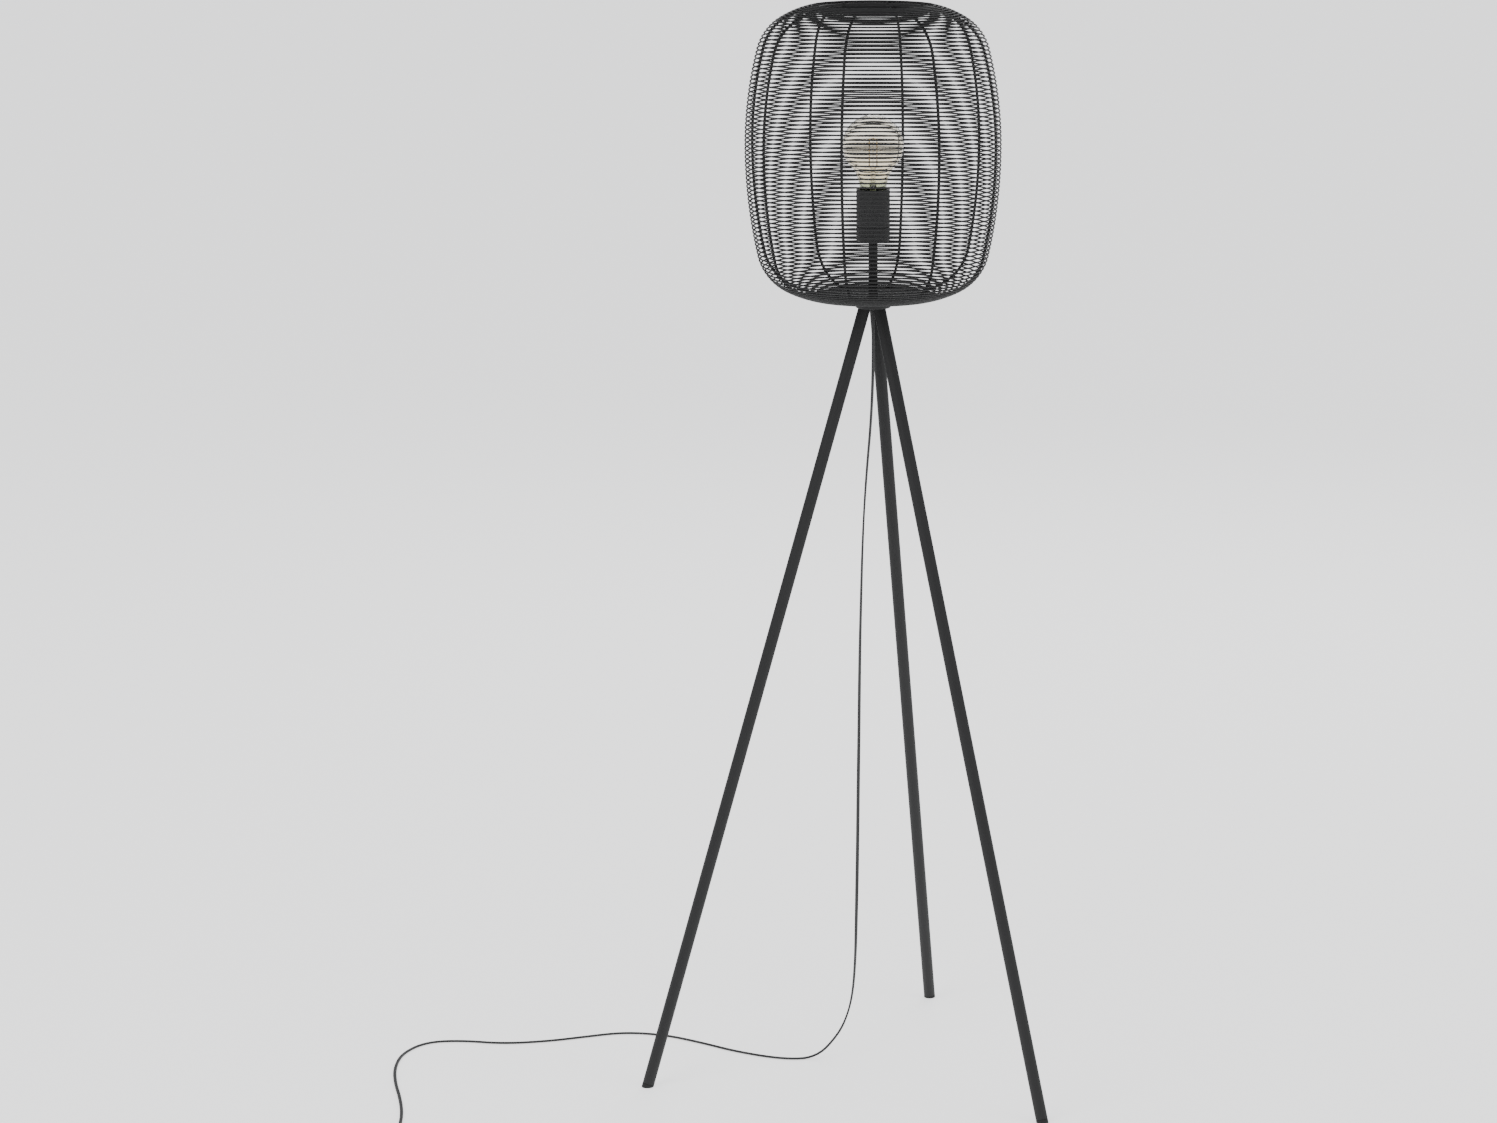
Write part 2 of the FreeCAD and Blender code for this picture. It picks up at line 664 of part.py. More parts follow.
def lead_points():
    """From inside the foot switch down to the floor, in line with the coil's start."""
    x = SWITCH_INLET[0] + SWITCH_LENGTH - SWITCH_CORD_INSIDE
    y = SWITCH_INLET[1]
    first, second, third = LEAD_RUNS
    return [
        (x, y, SWITCH_CORD_HEIGHT),
        (x + first, y, SWITCH_CORD_HEIGHT),
        (x + first + second, y, cord_on_floor),
        (x + first + second + third, y, cord_on_floor),
    ]


def biarc(start, come, end, go):
    """Two tangent arcs from start to end, with unit directions at both."""
    v = end - start
    t = come + go
    lack = 2 * (1 - come.dot(go))
    reach = (-v.dot(t) + math.sqrt(v.dot(t) ** 2 + lack * v.dot(v))) / lack
    joint = (start + come * reach + end - go * reach) * 0.5
    arcs = []
    for first, corner, last in ((start, start + come * reach, joint), (joint, end - go * reach, end)):
        weight = ((first + last) * 0.5 - first).Length / reach
        middle = (first + corner * (2 * weight) + last) * (1 / (2 + 2 * weight))
        arcs.append(Part.Arc(first, middle, last).toShape())
    return arcs


def coil_path():
    """Half turns that spiral in on the floor and out again on top of themselves, turning clockwise.
    The innermost one climbs a layer, slowly at its ends. A straight lead comes before, a tail after."""
    step = cord_pitch / 2
    rounds = list(range(COIL_HALF_TURNS, 0, -1)) + list(range(2, COIL_HALF_TURNS + 2))
    mean = COIL_ACROSS * CORD_RADIUS
    radii = [mean + step * (n - sum(rounds) / len(rounds)) for n in rounds]
    at = V(*lead_points()[-1])
    edges = [Part.LineSegment(at, at + V(COIL_LEAD, 0, 0)).toShape()]
    at = at + V(COIL_LEAD, 0, 0)
    side = 1
    for i, radius in enumerate(radii):
        climb = cord_pitch if i == COIL_HALF_TURNS - 1 else 0.0
        centre = at - V(0, side * radius, 0)
        places = []
        for share in (0, 0.5, 1):
            angle = math.pi * share
            up = climb * (3 * share**2 - 2 * share**3)
            slope = climb * 6 * share * (1 - share) / (math.pi * radius)
            place = centre + V(side * radius * math.sin(angle), side * radius * math.cos(angle), up)
            heading = V(side * math.cos(angle), -side * math.sin(angle), slope).normalize()
            places.append((place, heading))
        for (start, come), (end, go) in zip(places, places[1:]):
            edges += biarc(start, come, end, go)
        at = places[-1][0]
        side = -side
    edges.append(Part.LineSegment(at, at + V(COIL_TAIL, 0, 0)).toShape())
    print("coil: %.1f turns, radii %s" % (len(radii) / 2, [round(r, 2) for r in radii]))
    return edges, at + V(COIL_TAIL, 0, 0)


def least_gap(edges):
    """The least space between two stretches of the coil that aren't next to each other."""
    points = Part.Wire(edges).discretize(Distance=1.0)
    apart = 6 * CORD_RADIUS
    far = int(apart / 1.0)
    least = min((a - b).Length for i, a in enumerate(points) for b in points[i + far:])
    return least - 2 * CORD_RADIUS


def cord_coil(edges):
    print("coil: least gap to itself %.2f" % least_gap(edges))
    start = edges[0].valueAt(edges[0].FirstParameter)
    corners = ring_section(start, V(1, 0, 0), CORD_RADIUS, CORD_SIDES)
    return swept("cord_coil", edges, Part.makePolygon(corners + corners[:1]))


def inner_cord():
    """The cord's end inside the lamp, up to the lampholder's core."""
    low = HUB_UNDERSIDE + FIT_GAP
    return prism(polygon_points(CORD_RADIUS, low, 8), core_bottom + CORE_HEIGHT / 2 - FIT_GAP - low)


def cord_bush():
    """The plastic bush that the cord passes on its way into the hub."""
    bore = CORD_RADIUS + FIT_GAP
    return pipe(V(0, 0, HUB_UNDERSIDE), UP, bush_radius, bore, HUB_HEIGHT - ROD_IN_HUB - SEAT_GAP)


# ---- foot switch
def rounded_block(low, high, inset=0.0, top_inset=0.0):
    """A block with rounded corners round the switch's middle, drawn in at its top by top_inset."""
    rings = []
    for z, by in ((low, inset), (high, inset + top_inset)):
        ring = []
        for quarter in range(4):
            cx = (SWITCH_LENGTH / 2 - SWITCH_CORNER) * (1 if quarter in (0, 3) else -1)
            cy = (SWITCH_WIDTH / 2 - SWITCH_CORNER) * (1 if quarter in (0, 1) else -1)
            for i in range(5):
                a = math.radians(90 * quarter + 22.5 * i)
                reach = SWITCH_CORNER - by
                ring.append(V(cx + reach * math.cos(a), cy + reach * math.sin(a), z))
        rings.append(ring)
    return solid_from_rings(rings, closed=False)


def on_switch(piece):
    """Moves a piece drawn round the origin to the switch's place on the floor."""
    x, y = SWITCH_INLET
    piece.translate(V(x + SWITCH_LENGTH / 2, y, 0))
    return piece


def switch_posts(radius, low, high):
    return [bar(V(side * SCREW_SPACING / 2, 0, low), UP, radius, high - low, 8) for side in (-1, 1)]


cover_top = SWITCH_BASE_HEIGHT + SWITCH_COVER_HEIGHT
cover_roof = cover_top - SWITCH_WALL
flange_top = cover_roof - RUN_GAP
plunger_bottom = flange_top - BUTTON_FLANGE - PLUNGER_LENGTH
contact_top = plunger_bottom - BUTTON_TRAVEL - RUN_GAP


def cord_holes():
    length = SWITCH_LENGTH + 2.0
    start = V(-length / 2, 0, SWITCH_CORD_HEIGHT)
    return bar(start, V(1, 0, 0), CORD_RADIUS + FIT_GAP, length)


def switch_base():
    shell = rounded_block(0, SWITCH_BASE_HEIGHT)
    hollow = rounded_block(SWITCH_WALL, SWITCH_BASE_HEIGHT, SWITCH_WALL)
    posts = switch_posts(POST_RADIUS, SWITCH_WALL, SWITCH_BASE_HEIGHT)
    head_room = switch_posts(SCREW_HEAD_RADIUS + FIT_GAP, 0, SCREW_SINK + SCREW_HEAD_HEIGHT + SEAT_GAP)
    shank_room = switch_posts(SCREW_RADIUS + FIT_GAP, 0, SWITCH_BASE_HEIGHT)
    body = shell.cut(hollow).fuse(posts).cut(head_room + shank_room + [cord_holes()])
    return on_switch(body.removeSplitter())


def switch_cover():
    low = SWITCH_BASE_HEIGHT + SEAT_GAP
    shell = rounded_block(low, cover_top, 0.0, SWITCH_TAPER)
    hollow = rounded_block(low, cover_roof, SWITCH_WALL, SWITCH_TAPER)
    posts = switch_posts(POST_RADIUS, low, cover_roof)
    holes = switch_posts(SCREW_RADIUS + SEAT_GAP, low, low + SCREW_GRIP + FIT_GAP)
    holes.append(bar(V(0, 0, cover_roof), UP, BUTTON_RADIUS + RUN_GAP, 2 * SWITCH_WALL, GLASS_SIDES))
    holes.append(cord_holes())
    return on_switch(shell.cut(hollow).fuse(posts).cut(holes).removeSplitter())


def switch_button():
    """The round button, held under the cover by its flange, with the plunger that works the contacts."""
    cap_height = cover_top + BUTTON_ABOVE_COVER
    low = flange_top - BUTTON_FLANGE
    flange = BUTTON_RADIUS + BUTTON_FLANGE
    outline = [(PLUNGER_RADIUS, plunger_bottom), (PLUNGER_RADIUS, low), (flange, low), (flange, flange_top)]
    outline += [(BUTTON_RADIUS, flange_top), (BUTTON_RADIUS, cap_height - 1.0), (BUTTON_RADIUS - 1.0, cap_height)]
    return on_switch(faceted_round(outline, GLASS_SIDES))


def switch_contacts():
    """The block with the contacts and their spring, on the base's floor."""
    low = SWITCH_WALL + SEAT_GAP
    corner = V(-CONTACT_LENGTH / 2, -CONTACT_WIDTH / 2, low)
    return on_switch(Part.makeBox(CONTACT_LENGTH, CONTACT_WIDTH, contact_top - low, corner))


def switch_screws():
    heads = switch_posts(SCREW_HEAD_RADIUS, SCREW_SINK, SCREW_SINK + SCREW_HEAD_HEIGHT)
    shanks = switch_posts(SCREW_RADIUS, SCREW_SINK, SWITCH_BASE_HEIGHT + SCREW_GRIP)
    return on_switch(group([head.fuse(shank) for head, shank in zip(heads, shanks)]))


# ---- plug
def plug_body(start):
    """The flat moulded body, which narrows to a tapered neck round the cord."""
    ahead = V(1, 0, 0)
    rings = []
    for x, radius in ((SEAT_GAP, PLUG_NECK_RADIUS), (PLUG_NECK_LENGTH + 1.0, PLUG_NECK_WIDE)):
        rings.append(ring_section(start + ahead * x, ahead, radius, 12))
    neck = solid_from_rings(rings, closed=False)
    rear = start + ahead * PLUG_NECK_LENGTH
    half = PLUG_THICKNESS / 2
    corners = []
    for along, across in ((0, PLUG_REAR_WIDTH / 2), (PLUG_TAPER_LENGTH, PLUG_WIDTH / 2), (PLUG_LENGTH, PLUG_WIDTH / 2)):
        corners.append(rear + V(along, across, -half))
    corners += [V(c.x, 2 * rear.y - c.y, c.z) for c in reversed(corners)]
    block = prism(corners, PLUG_THICKNESS)
    rims = [e for e in block.Edges if e.BoundBox.ZLength < 1e-6 and e.BoundBox.XLength > 1e-6]
    block = block.makeChamfer(1.5, rims)
    holes = [bar(at, ahead, PIN_SHANK_RADIUS + FIT_GAP, PIN_IN_BODY + 1.0) for at in pin_starts(start)]
    return block.fuse(neck).cut(holes).removeSplitter()


def pin_starts(start):
    x = PLUG_NECK_LENGTH + PLUG_LENGTH - PIN_IN_BODY
    return [start + V(x, side * PIN_SPACING / 2, 0) for side in (-1, 1)]


def plug_pins(start):
    """Two round pins on thinner shanks, which are moulded into the body."""
    ahead = V(1, 0, 0)
    shank_length = PIN_IN_BODY + PIN_NECK
    pins = []
    for at in pin_starts(start):
        shank = tube(at + ahead * SEAT_GAP, ahead, PIN_SHANK_RADIUS, 0, shank_length)
        pin = tube(at + ahead * (SEAT_GAP + shank_length), ahead, PIN_RADIUS, 0, PIN_LENGTH - PIN_NECK)
        pins.append(shank.fuse(pin))
    return group(pins)


# ---- everything, by node name
profile = cage_profile()
wire_step = (profile.length - FIRST_WIRE - LAST_WIRE) / (WIRE_COUNT - 1)
print("cage: %d wires %.2f apart along %.1f of profile" % (WIRE_COUNT, wire_step, profile.length))
coil_edges, plug_start = coil_path()

pieces = {
    "base_plate": plate(),
    "leg_hub": hub(),
    "lock_washer": washer(),
    "threaded_rod": threaded_rod(),
    "stem_tube": stem(),
    "leg_inserts": group([leg_insert(a) for a in LEG_AZIMUTHS.values()]),
    "leg_studs": group([leg_stud(a) for a in LEG_AZIMUTHS.values()]),
    "feet": group([foot(a) for a in LEG_AZIMUTHS.values()]),
    "mouth_ring": mouth_ring(profile),
    "cage_ribs": group([rib(profile, RIB_AZIMUTH + 360.0 * i / RIB_COUNT) for i in range(RIB_COUNT)]),
    "lampholder_cap": holder_cap(),
    "lampholder_nut": holder_nut(),
    "lampholder_skirt": holder_skirt(),
    "lampholder_core": holder_core(),
    "screw_shell": screw_shell(),
    "centre_contact": centre_contact(),
    "terminal_screws": terminal_screws(),
    "bulb_glass": bulb_glass(),
    "bulb_cap": bulb_cap(),
    "bulb_insulator": bulb_insulator(),
    "bulb_tip_contact": bulb_tip(),
    "bulb_mount": bulb_mount(),
    "bulb_filaments": filaments(),
    "cord_bush": cord_bush(),
    "inner_cord": inner_cord(),
}
for name, azimuth in LEG_AZIMUTHS.items():
    pieces["leg_tube_" + name] = leg_tube(azimuth)
in_band = WIRE_COUNT // WIRE_BANDS
for band in range(WIRE_BANDS):
    first = profile.length - LAST_WIRE - band * in_band * wire_step
    pieces["cage_wires_%d" % (band + 1)] = group([wire_ring(profile, first - i * wire_step) for i in range(in_band)])

on_cord = {
    "cord": hanging_cord(),
    "cord_lead": cord_piece("cord_lead", lead_points()),
    "cord_coil": cord_coil(coil_edges),
    "switch_base": switch_base(),
    "switch_cover": switch_cover(),
    "switch_button": switch_button(),
    "switch_contacts": switch_contacts(),
    "switch_screws": switch_screws(),
    "plug_body": plug_body(plug_start),
    "plug_pins": plug_pins(plug_start),
}

# ---- the origin goes to the middle of the box round the lamp without its cord, then every node is saved
box = Part.makeCompound(list(pieces.values())).optimalBoundingBox(False, False)
shift = V(-(box.XMin + box.XMax) / 2, -(box.YMin + box.YMax) / 2, 0)
print("the lamp's axis stands at %.2f, %.2f" % (shift.x, shift.y))
os.makedirs("parts", exist_ok=True)
pieces.update(on_cord)
for name, shape in pieces.items():
    moved = shape.copy()
    moved.translate(shift)
    if not moved.isValid():
        print("not valid:", name)
    moved.exportStep("parts/%s.step" % name)
print(len(pieces), "nodes")
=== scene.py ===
# %% [markdown]
# # A wire cage floor lamp
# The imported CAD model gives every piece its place. This lesson loads it, sets up the photographer's
# camera, and then dresses the lamp piece by piece: the cord first, then the cage, the tripod, the
# lampholder, the bulb and the small things on the cord.

# %% Load the frame
import json
import math
import bmesh
import bpy
from mathutils import Matrix, Vector


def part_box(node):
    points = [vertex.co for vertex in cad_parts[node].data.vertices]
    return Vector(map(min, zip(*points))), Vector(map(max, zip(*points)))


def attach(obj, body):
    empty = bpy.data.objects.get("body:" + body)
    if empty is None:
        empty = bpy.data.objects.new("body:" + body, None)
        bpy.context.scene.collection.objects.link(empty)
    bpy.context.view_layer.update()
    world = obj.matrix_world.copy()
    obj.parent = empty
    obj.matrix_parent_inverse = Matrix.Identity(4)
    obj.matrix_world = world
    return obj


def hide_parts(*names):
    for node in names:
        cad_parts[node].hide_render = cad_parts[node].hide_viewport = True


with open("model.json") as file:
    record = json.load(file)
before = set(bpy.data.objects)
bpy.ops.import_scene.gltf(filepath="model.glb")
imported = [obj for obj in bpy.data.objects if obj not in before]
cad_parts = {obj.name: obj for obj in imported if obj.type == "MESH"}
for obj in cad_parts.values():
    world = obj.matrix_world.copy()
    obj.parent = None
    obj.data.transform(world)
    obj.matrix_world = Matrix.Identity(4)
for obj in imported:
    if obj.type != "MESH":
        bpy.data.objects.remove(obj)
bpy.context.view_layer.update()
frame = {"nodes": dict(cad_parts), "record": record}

MM = 0.001
UP = Vector((0, 0, 1))


def box_middle(node):
    """The middle of a CAD node's box, in metres."""
    return [(low + high) / 2 for low, high in zip(*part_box(node))]


AXIS = Vector((*box_middle("base_plate")[:2], 0))
print("the lamp's own axis stands at", [round(c, 4) for c in AXIS])


def place(x, y, z):
    """A point given in millimetres from the lamp's axis and the floor."""
    return AXIS + Vector((x, y, z)) * MM


# %% [markdown]
# ## The camera
# The photograph was taken from over five metres away with a long lens, so the legs hardly converge.
# The lamp stands right of the picture's middle while its stem stays upright, which a small sideways
# lens shift gives without turning the camera.

# %% Camera
SENSOR = 36  # mm
PICTURE_WIDTH = 1497  # pixels, as the two below
FOCAL_LENGTH = 4000
LAMP_COLUMN = 873.7  # where the lamp's axis stands in the picture
CAMERA_AT = (0.8, -5212, 1811.6)
LOOKING_DOWN = 11.97  # degrees


def make_camera():
    data = bpy.data.cameras.new("photo_camera")
    data.sensor_width = SENSOR
    data.lens = SENSOR * FOCAL_LENGTH / PICTURE_WIDTH
    data.shift_x = -(LAMP_COLUMN - PICTURE_WIDTH / 2) / PICTURE_WIDTH
    camera = bpy.data.objects.new("photo_camera", data)
    camera.location = place(*CAMERA_AT)
    camera.rotation_euler = (math.radians(90 - LOOKING_DOWN), 0, 0)
    bpy.context.collection.objects.link(camera)
    bpy.context.scene.camera = camera
    print("camera lens", round(data.lens, 1), "mm")


make_camera()

# %% [markdown]
# ## The studio
# The picture has an almost white ground and no hard shadow. A wide pale floor, an even sky and three
# large soft lamps give that. The floor isn't part of the lamp. It lies a hair under the feet, so that
# no two faces share one plane, and glows a little by itself.

# %% Floor
FLOOR_REACH = 45  # m
FLOOR_DROP = 0.0002  # m


def new_material(name):
    """A new material, its nodes, its links and its shader."""
    material = bpy.data.materials.new(name)
    material.use_nodes = True
    tree = material.node_tree
    return material, tree.nodes, tree.links, tree.nodes["Principled BSDF"]


def make_floor():
    bm = bmesh.new()
    bmesh.ops.create_grid(bm, x_segments=1, y_segments=1, size=FLOOR_REACH)
    bmesh.ops.translate(bm, vec=(0, 0, -FLOOR_DROP), verts=bm.verts[:])
    mesh = bpy.data.meshes.new("studio_floor")
    bm.to_mesh(mesh)
    bm.free()
    floor = bpy.data.objects.new("studio_floor", mesh)
    bpy.context.collection.objects.link(floor)
    paint, _, _, shader = new_material("studio_floor")
    shader.inputs["Base Color"].default_value = (0.9, 0.9, 0.9, 1)
    shader.inputs["Roughness"].default_value = 0.9
    shader.inputs["Specular IOR Level"].default_value = 0.1
    shader.inputs["Emission Color"].default_value = (1, 1, 1, 1)
    shader.inputs["Emission Strength"].default_value = 1.1
    mesh.materials.append(paint)
    print("a floor of", 2 * FLOOR_REACH, "m")


make_floor()

# %% [markdown]
# A large area lamp throws soft shadows, as a studio's softbox does. The brightest stands in front on
# the left, a weaker one fills in from the right, and one behind draws a thin edge of light on the tubes.

# %% Lights
LIGHT_SIZE = 2.5  # m
AIM_HEIGHT = 0.8  # m above the floor, a little over half way up the lamp


def make_light(name, x, y, z, power):
    data = bpy.data.lights.new(name, "AREA")
    data.size = LIGHT_SIZE
    data.energy = power
    light = bpy.data.objects.new(name, data)
    light.location = AXIS + Vector((x, y, z))
    aim = AXIS + UP * AIM_HEIGHT - light.location
    light.rotation_euler = aim.to_track_quat("-Z", "Y").to_euler()
    bpy.context.collection.objects.link(light)


make_light("key_light", -2.6, -3.0, 3.4, 70)
make_light("fill_light", 3.2, -2.2, 2.4, 30)
make_light("back_light", 0.8, 3.2, 3.0, 50)
world = bpy.data.worlds.new("studio")
world.use_nodes = True
sky = world.node_tree.nodes["Background"]
sky.inputs["Color"].default_value = (0.96, 0.97, 1, 1)
sky.inputs["Strength"].default_value = 0.7
bpy.context.scene.world = world
print("an even sky and three soft lights")

# %% [markdown]
# ## Finishes
# Cage, plate, hub, stem and legs are matt charcoal powder coat. Such paint looks flat from afar, but up
# close it has a fine orange-peel skin and a slightly cloudy tone. One helper builds that from two noises
# on Object coordinates: a coarse one shifts the tone and roughness, a fine one drives the bump. The
# plastics and metals use the same helper with a finer grain or a shallower skin.

# %% Coated finishes
FINISH = {}
SHEEN_SPREAD = 0.06  # how far the roughness follows the clouds
SKIN_DEPTH = 0.0003  # m


def finish(
    name, colour, roughness, metallic=0.0, cloud=7.0, vary=0.1, grain=1500.0, bump=0.12, gloss=0.25
):
    """A finish with a cloudy tone and a fine skin, kept under the name of its slot."""
    paint, nodes, links, shader = new_material(name)
    shader.inputs["Metallic"].default_value = metallic
    shader.inputs["Specular IOR Level"].default_value = 0.5 if metallic else gloss
    where = nodes.new("ShaderNodeTexCoord")
    clouds = nodes.new("ShaderNodeTexNoise")
    clouds.inputs["Scale"].default_value = cloud
    clouds.inputs["Detail"].default_value = 4
    links.new(where.outputs["Object"], clouds.inputs["Vector"])
    tone = nodes.new("ShaderNodeValToRGB")
    dark, light = tone.color_ramp.elements
    dark.position = 0.3
    light.position = 0.7
    dark.color = [c * (1 - vary) for c in colour] + [1]
    light.color = [min(1, c * (1 + vary)) for c in colour] + [1]
    links.new(clouds.outputs["Fac"], tone.inputs["Fac"])
    links.new(tone.outputs["Color"], shader.inputs["Base Color"])
    sheen = nodes.new("ShaderNodeMapRange")
    sheen.inputs["To Min"].default_value = max(0.02, roughness - SHEEN_SPREAD)
    sheen.inputs["To Max"].default_value = roughness + SHEEN_SPREAD
    links.new(clouds.outputs["Fac"], sheen.inputs["Value"])
    links.new(sheen.outputs["Result"], shader.inputs["Roughness"])
    skin = nodes.new("ShaderNodeTexNoise")
    skin.inputs["Scale"].default_value = grain
    skin.inputs["Detail"].default_value = 2
    links.new(where.outputs["Object"], skin.inputs["Vector"])
    relief = nodes.new("ShaderNodeBump")
    relief.inputs["Strength"].default_value = bump
    relief.inputs["Distance"].default_value = SKIN_DEPTH
    links.new(skin.outputs["Fac"], relief.inputs["Height"])
    links.new(relief.outputs["Normal"], shader.inputs["Normal"])
    FINISH[name] = paint


finish("painted_steel", (0.015, 0.015, 0.0154), 0.62)
finish("plate_paint", (0.027, 0.027, 0.0275), 0.6)
finish("zinc", (0.55, 0.55, 0.57), 0.35, metallic=1.0, grain=900, bump=0.08)
finish("foot_plastic", (0.016, 0.016, 0.016), 0.7, grain=2500)
finish("holder_plastic", (0.028, 0.028, 0.0285), 0.58, grain=2200, bump=0.08)
finish("holder_core", (0.78, 0.77, 0.73), 0.35, vary=0.03, bump=0.03, gloss=0.5)
finish("brass", (0.78, 0.6, 0.3), 0.3, metallic=1.0, bump=0.05)
finish("bulb_metal", (0.78, 0.78, 0.78), 0.28, metallic=1.0, bump=0.05)
finish("bulb_insulator", (0.02, 0.02, 0.025), 0.2, bump=0.02, gloss=0.5)
finish("filament", (0.5, 0.38, 0.2), 0.5, cloud=300, vary=0.15, grain=4000)
finish("cord_black", (0.022, 0.022, 0.0225), 0.5, grain=3000, bump=0.06, gloss=0.35)
finish("switch_black", (0.02, 0.02, 0.0205), 0.48, grain=2600, bump=0.1, gloss=0.35)
finish("pin_metal", (0.74, 0.73, 0.7), 0.25, metallic=1.0, bump=0.04)
print(len(FINISH), "coated finishes")

# %% [markdown]
# Glass is a shader of its own: clear, smooth, and tinted. The photographed bulb is a warm ivory that
# turns a little greenish towards its neck, so the tint follows the height of each point.

# %% Glass finishes
def glass(name, low, high, foot, middle, crown):
    """Clear glass whose tint changes from foot to crown between two heights in metres."""
    pane, nodes, links, shader = new_material(name)
    shader.inputs["Transmission Weight"].default_value = 1.0
    shader.inputs["Roughness"].default_value = 0.01
    shader.inputs["IOR"].default_value = 1.45
    where = nodes.new("ShaderNodeTexCoord")
    split = nodes.new("ShaderNodeSeparateXYZ")
    links.new(where.outputs["Object"], split.inputs["Vector"])
    height = nodes.new("ShaderNodeMapRange")
    height.inputs["From Min"].default_value = low
    height.inputs["From Max"].default_value = high
    links.new(split.outputs["Z"], height.inputs["Value"])
    tint = nodes.new("ShaderNodeValToRGB")
    tint.color_ramp.elements[0].color = (*foot, 1)
    tint.color_ramp.elements[1].color = (*crown, 1)
    tint.color_ramp.elements.new(0.2).color = (*middle, 1)
    links.new(height.outputs["Result"], tint.inputs["Fac"])
    links.new(tint.outputs["Color"], shader.inputs["Base Color"])
    FINISH[name] = pane


glass("bulb_glass", 1.205, 1.28, (0.5, 0.56, 0.42), (0.96, 0.89, 0.74), (0.99, 0.965, 0.9))
glass("mount_glass", 1.18, 1.23, (0.8, 0.83, 0.75), (0.92, 0.91, 0.86), (0.97, 0.95, 0.9))
print("two kinds of glass")

# %% [markdown]
# ## From a bmesh to a piece
# Each piece is shaped in a bmesh round the lamp's axis. One helper closes it, points its faces
# outwards, moves it to the axis, gives it its finish and lets it ride on its CAD body. Two more helpers
# are needed again and again: one rounds sharp edges, and one spins an outline into a turned shape.

# %% Piece helpers
WELD = 1e-7  # m: corners closer than this are one


def piece(name, bm, body, slot, nodes=(), moved=True, crease=35):
    """Turns a bmesh into a finished piece that stands for the named CAD nodes."""
    if moved:
        bmesh.ops.translate(bm, vec=AXIS, verts=bm.verts[:])
    bmesh.ops.remove_doubles(bm, verts=bm.verts[:], dist=WELD)
    bmesh.ops.recalc_face_normals(bm, faces=bm.faces[:])
    mesh = bpy.data.meshes.new(name)
    bm.to_mesh(mesh)
    bm.free()
    mesh.shade_smooth()
    mesh.set_sharp_from_angle(angle=math.radians(crease))
    mesh.materials.append(FINISH[slot])
    obj = bpy.data.objects.new(name, mesh)
    bpy.context.collection.objects.link(obj)
    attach(obj, body)
    if nodes:
        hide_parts(*nodes)
    print(name, len(mesh.polygons), "faces")
    return obj


def soften(bm, width, segments=2, limit=30):
    """Bevels every edge sharper than the limit, so that it catches the light as a real one does."""
    bmesh.ops.recalc_face_normals(bm, faces=bm.faces[:])
    limit = math.radians(limit)
    sharp = [e for e in bm.edges if len(e.link_faces) == 2 and e.calc_face_angle(0) > limit]
    bmesh.ops.bevel(
        bm, geom=sharp, offset=width * MM, affect="EDGES", segments=segments, profile=0.5, material=-1
    )


def full_turn(bm, steps):
    """Spins everything in the bmesh once round the lamp's axis."""
    bmesh.ops.spin(
        bm,
        geom=bm.verts[:] + bm.edges[:],
        cent=(0, 0, 0),
        axis=(0, 0, 1),
        angle=2 * math.pi,
        steps=steps,
        use_merge=True,
    )


def turned(outline, steps=96, closed=False):
    """A bmesh spun round the lamp's axis from (radius, height) points in millimetres."""
    bm = bmesh.new()
    verts = [bm.verts.new((r * MM, 0, z * MM)) for r, z in outline]
    for pair in zip(verts, verts[1:]):
        bm.edges.new(pair)
    if closed:
        bm.edges.new((verts[-1], verts[0]))
    full_turn(bm, steps)
    bmesh.ops.remove_doubles(bm, verts=bm.verts[:], dist=WELD)
    bmesh.ops.recalc_face_normals(bm, faces=bm.faces[:])
    return bm


def of_kind(geom, kind):
    """The corners or the edges among what a bmesh operator returns."""
    return [g for g in geom if isinstance(g, kind)]


print("helpers for pieces, edges and turned shapes")

# %% [markdown]
# ## The cord
# A cord keeps its length and lies as it falls. Its route is a smooth curve through the same points as
# the CAD tube: out of the hub, down behind the legs, a wide bend onto the floor, and away to the left.
# The photograph loses it there, so the way on to the foot switch is a guess.

# %% Points of the route
HANGING = [
    (0, 0, 1048), (0.3, 1.7, 1000), (-0.4, 3.4, 948), (-3, 5.6, 892), (-8, 7.4, 834), (-12, 9.7, 776),
    (-14.5, 11.6, 716), (-16.1, 14, 654), (-17.6, 16, 590), (-18.5, 18.5, 525), (-19.2, 20.6, 460),
    (-20.1, 23.1, 395), (-20.8, 25.2, 330), (-21.7, 27.6, 266), (-22.9, 29.6, 204), (-24.2, 31.8, 146),
    (-27.5, 33.6, 97), (-34.7, 35, 63.6), (-47.6, 35.5, 34.4),
]
ON_FLOOR = [
    (-77.4, 33), (-122, 26), (-186, 56), (-240, 97), (-292, 130), (-350, 141), (-404, 121), (-455, 102),
    (-516, 92), (-572, 105), (-622, 99), (-650, 52), (-654, -8), (-646, -70), (-632, -132), (-622, -195),
    (-620, -248), (-609, -288),
]
SWITCH_LINE = -305  # the line on which the switch and the start of the coil lie
ENTRY_HEIGHT = 6  # of the cord where it enters the switch
SWITCH_IN = (-551, SWITCH_LINE, ENTRY_HEIGHT)
SWITCH_OUT = (-495, SWITCH_LINE, ENTRY_HEIGHT)
TO_SWITCH = [(-582, SWITCH_LINE, ENTRY_HEIGHT), SWITCH_IN]
CORD_HEIGHT = 1.6  # of the flat cord's middle above the floor
print(len(HANGING) + len(ON_FLOOR) + len(TO_SWITCH), "points from the hub to the switch")

# %% [markdown]
# A NURBS curve of order 3 rounds the corners between the points without overshooting. Blender turns it
# into short straight steps, and those are read back as a list, since the sweep needs them one by one.

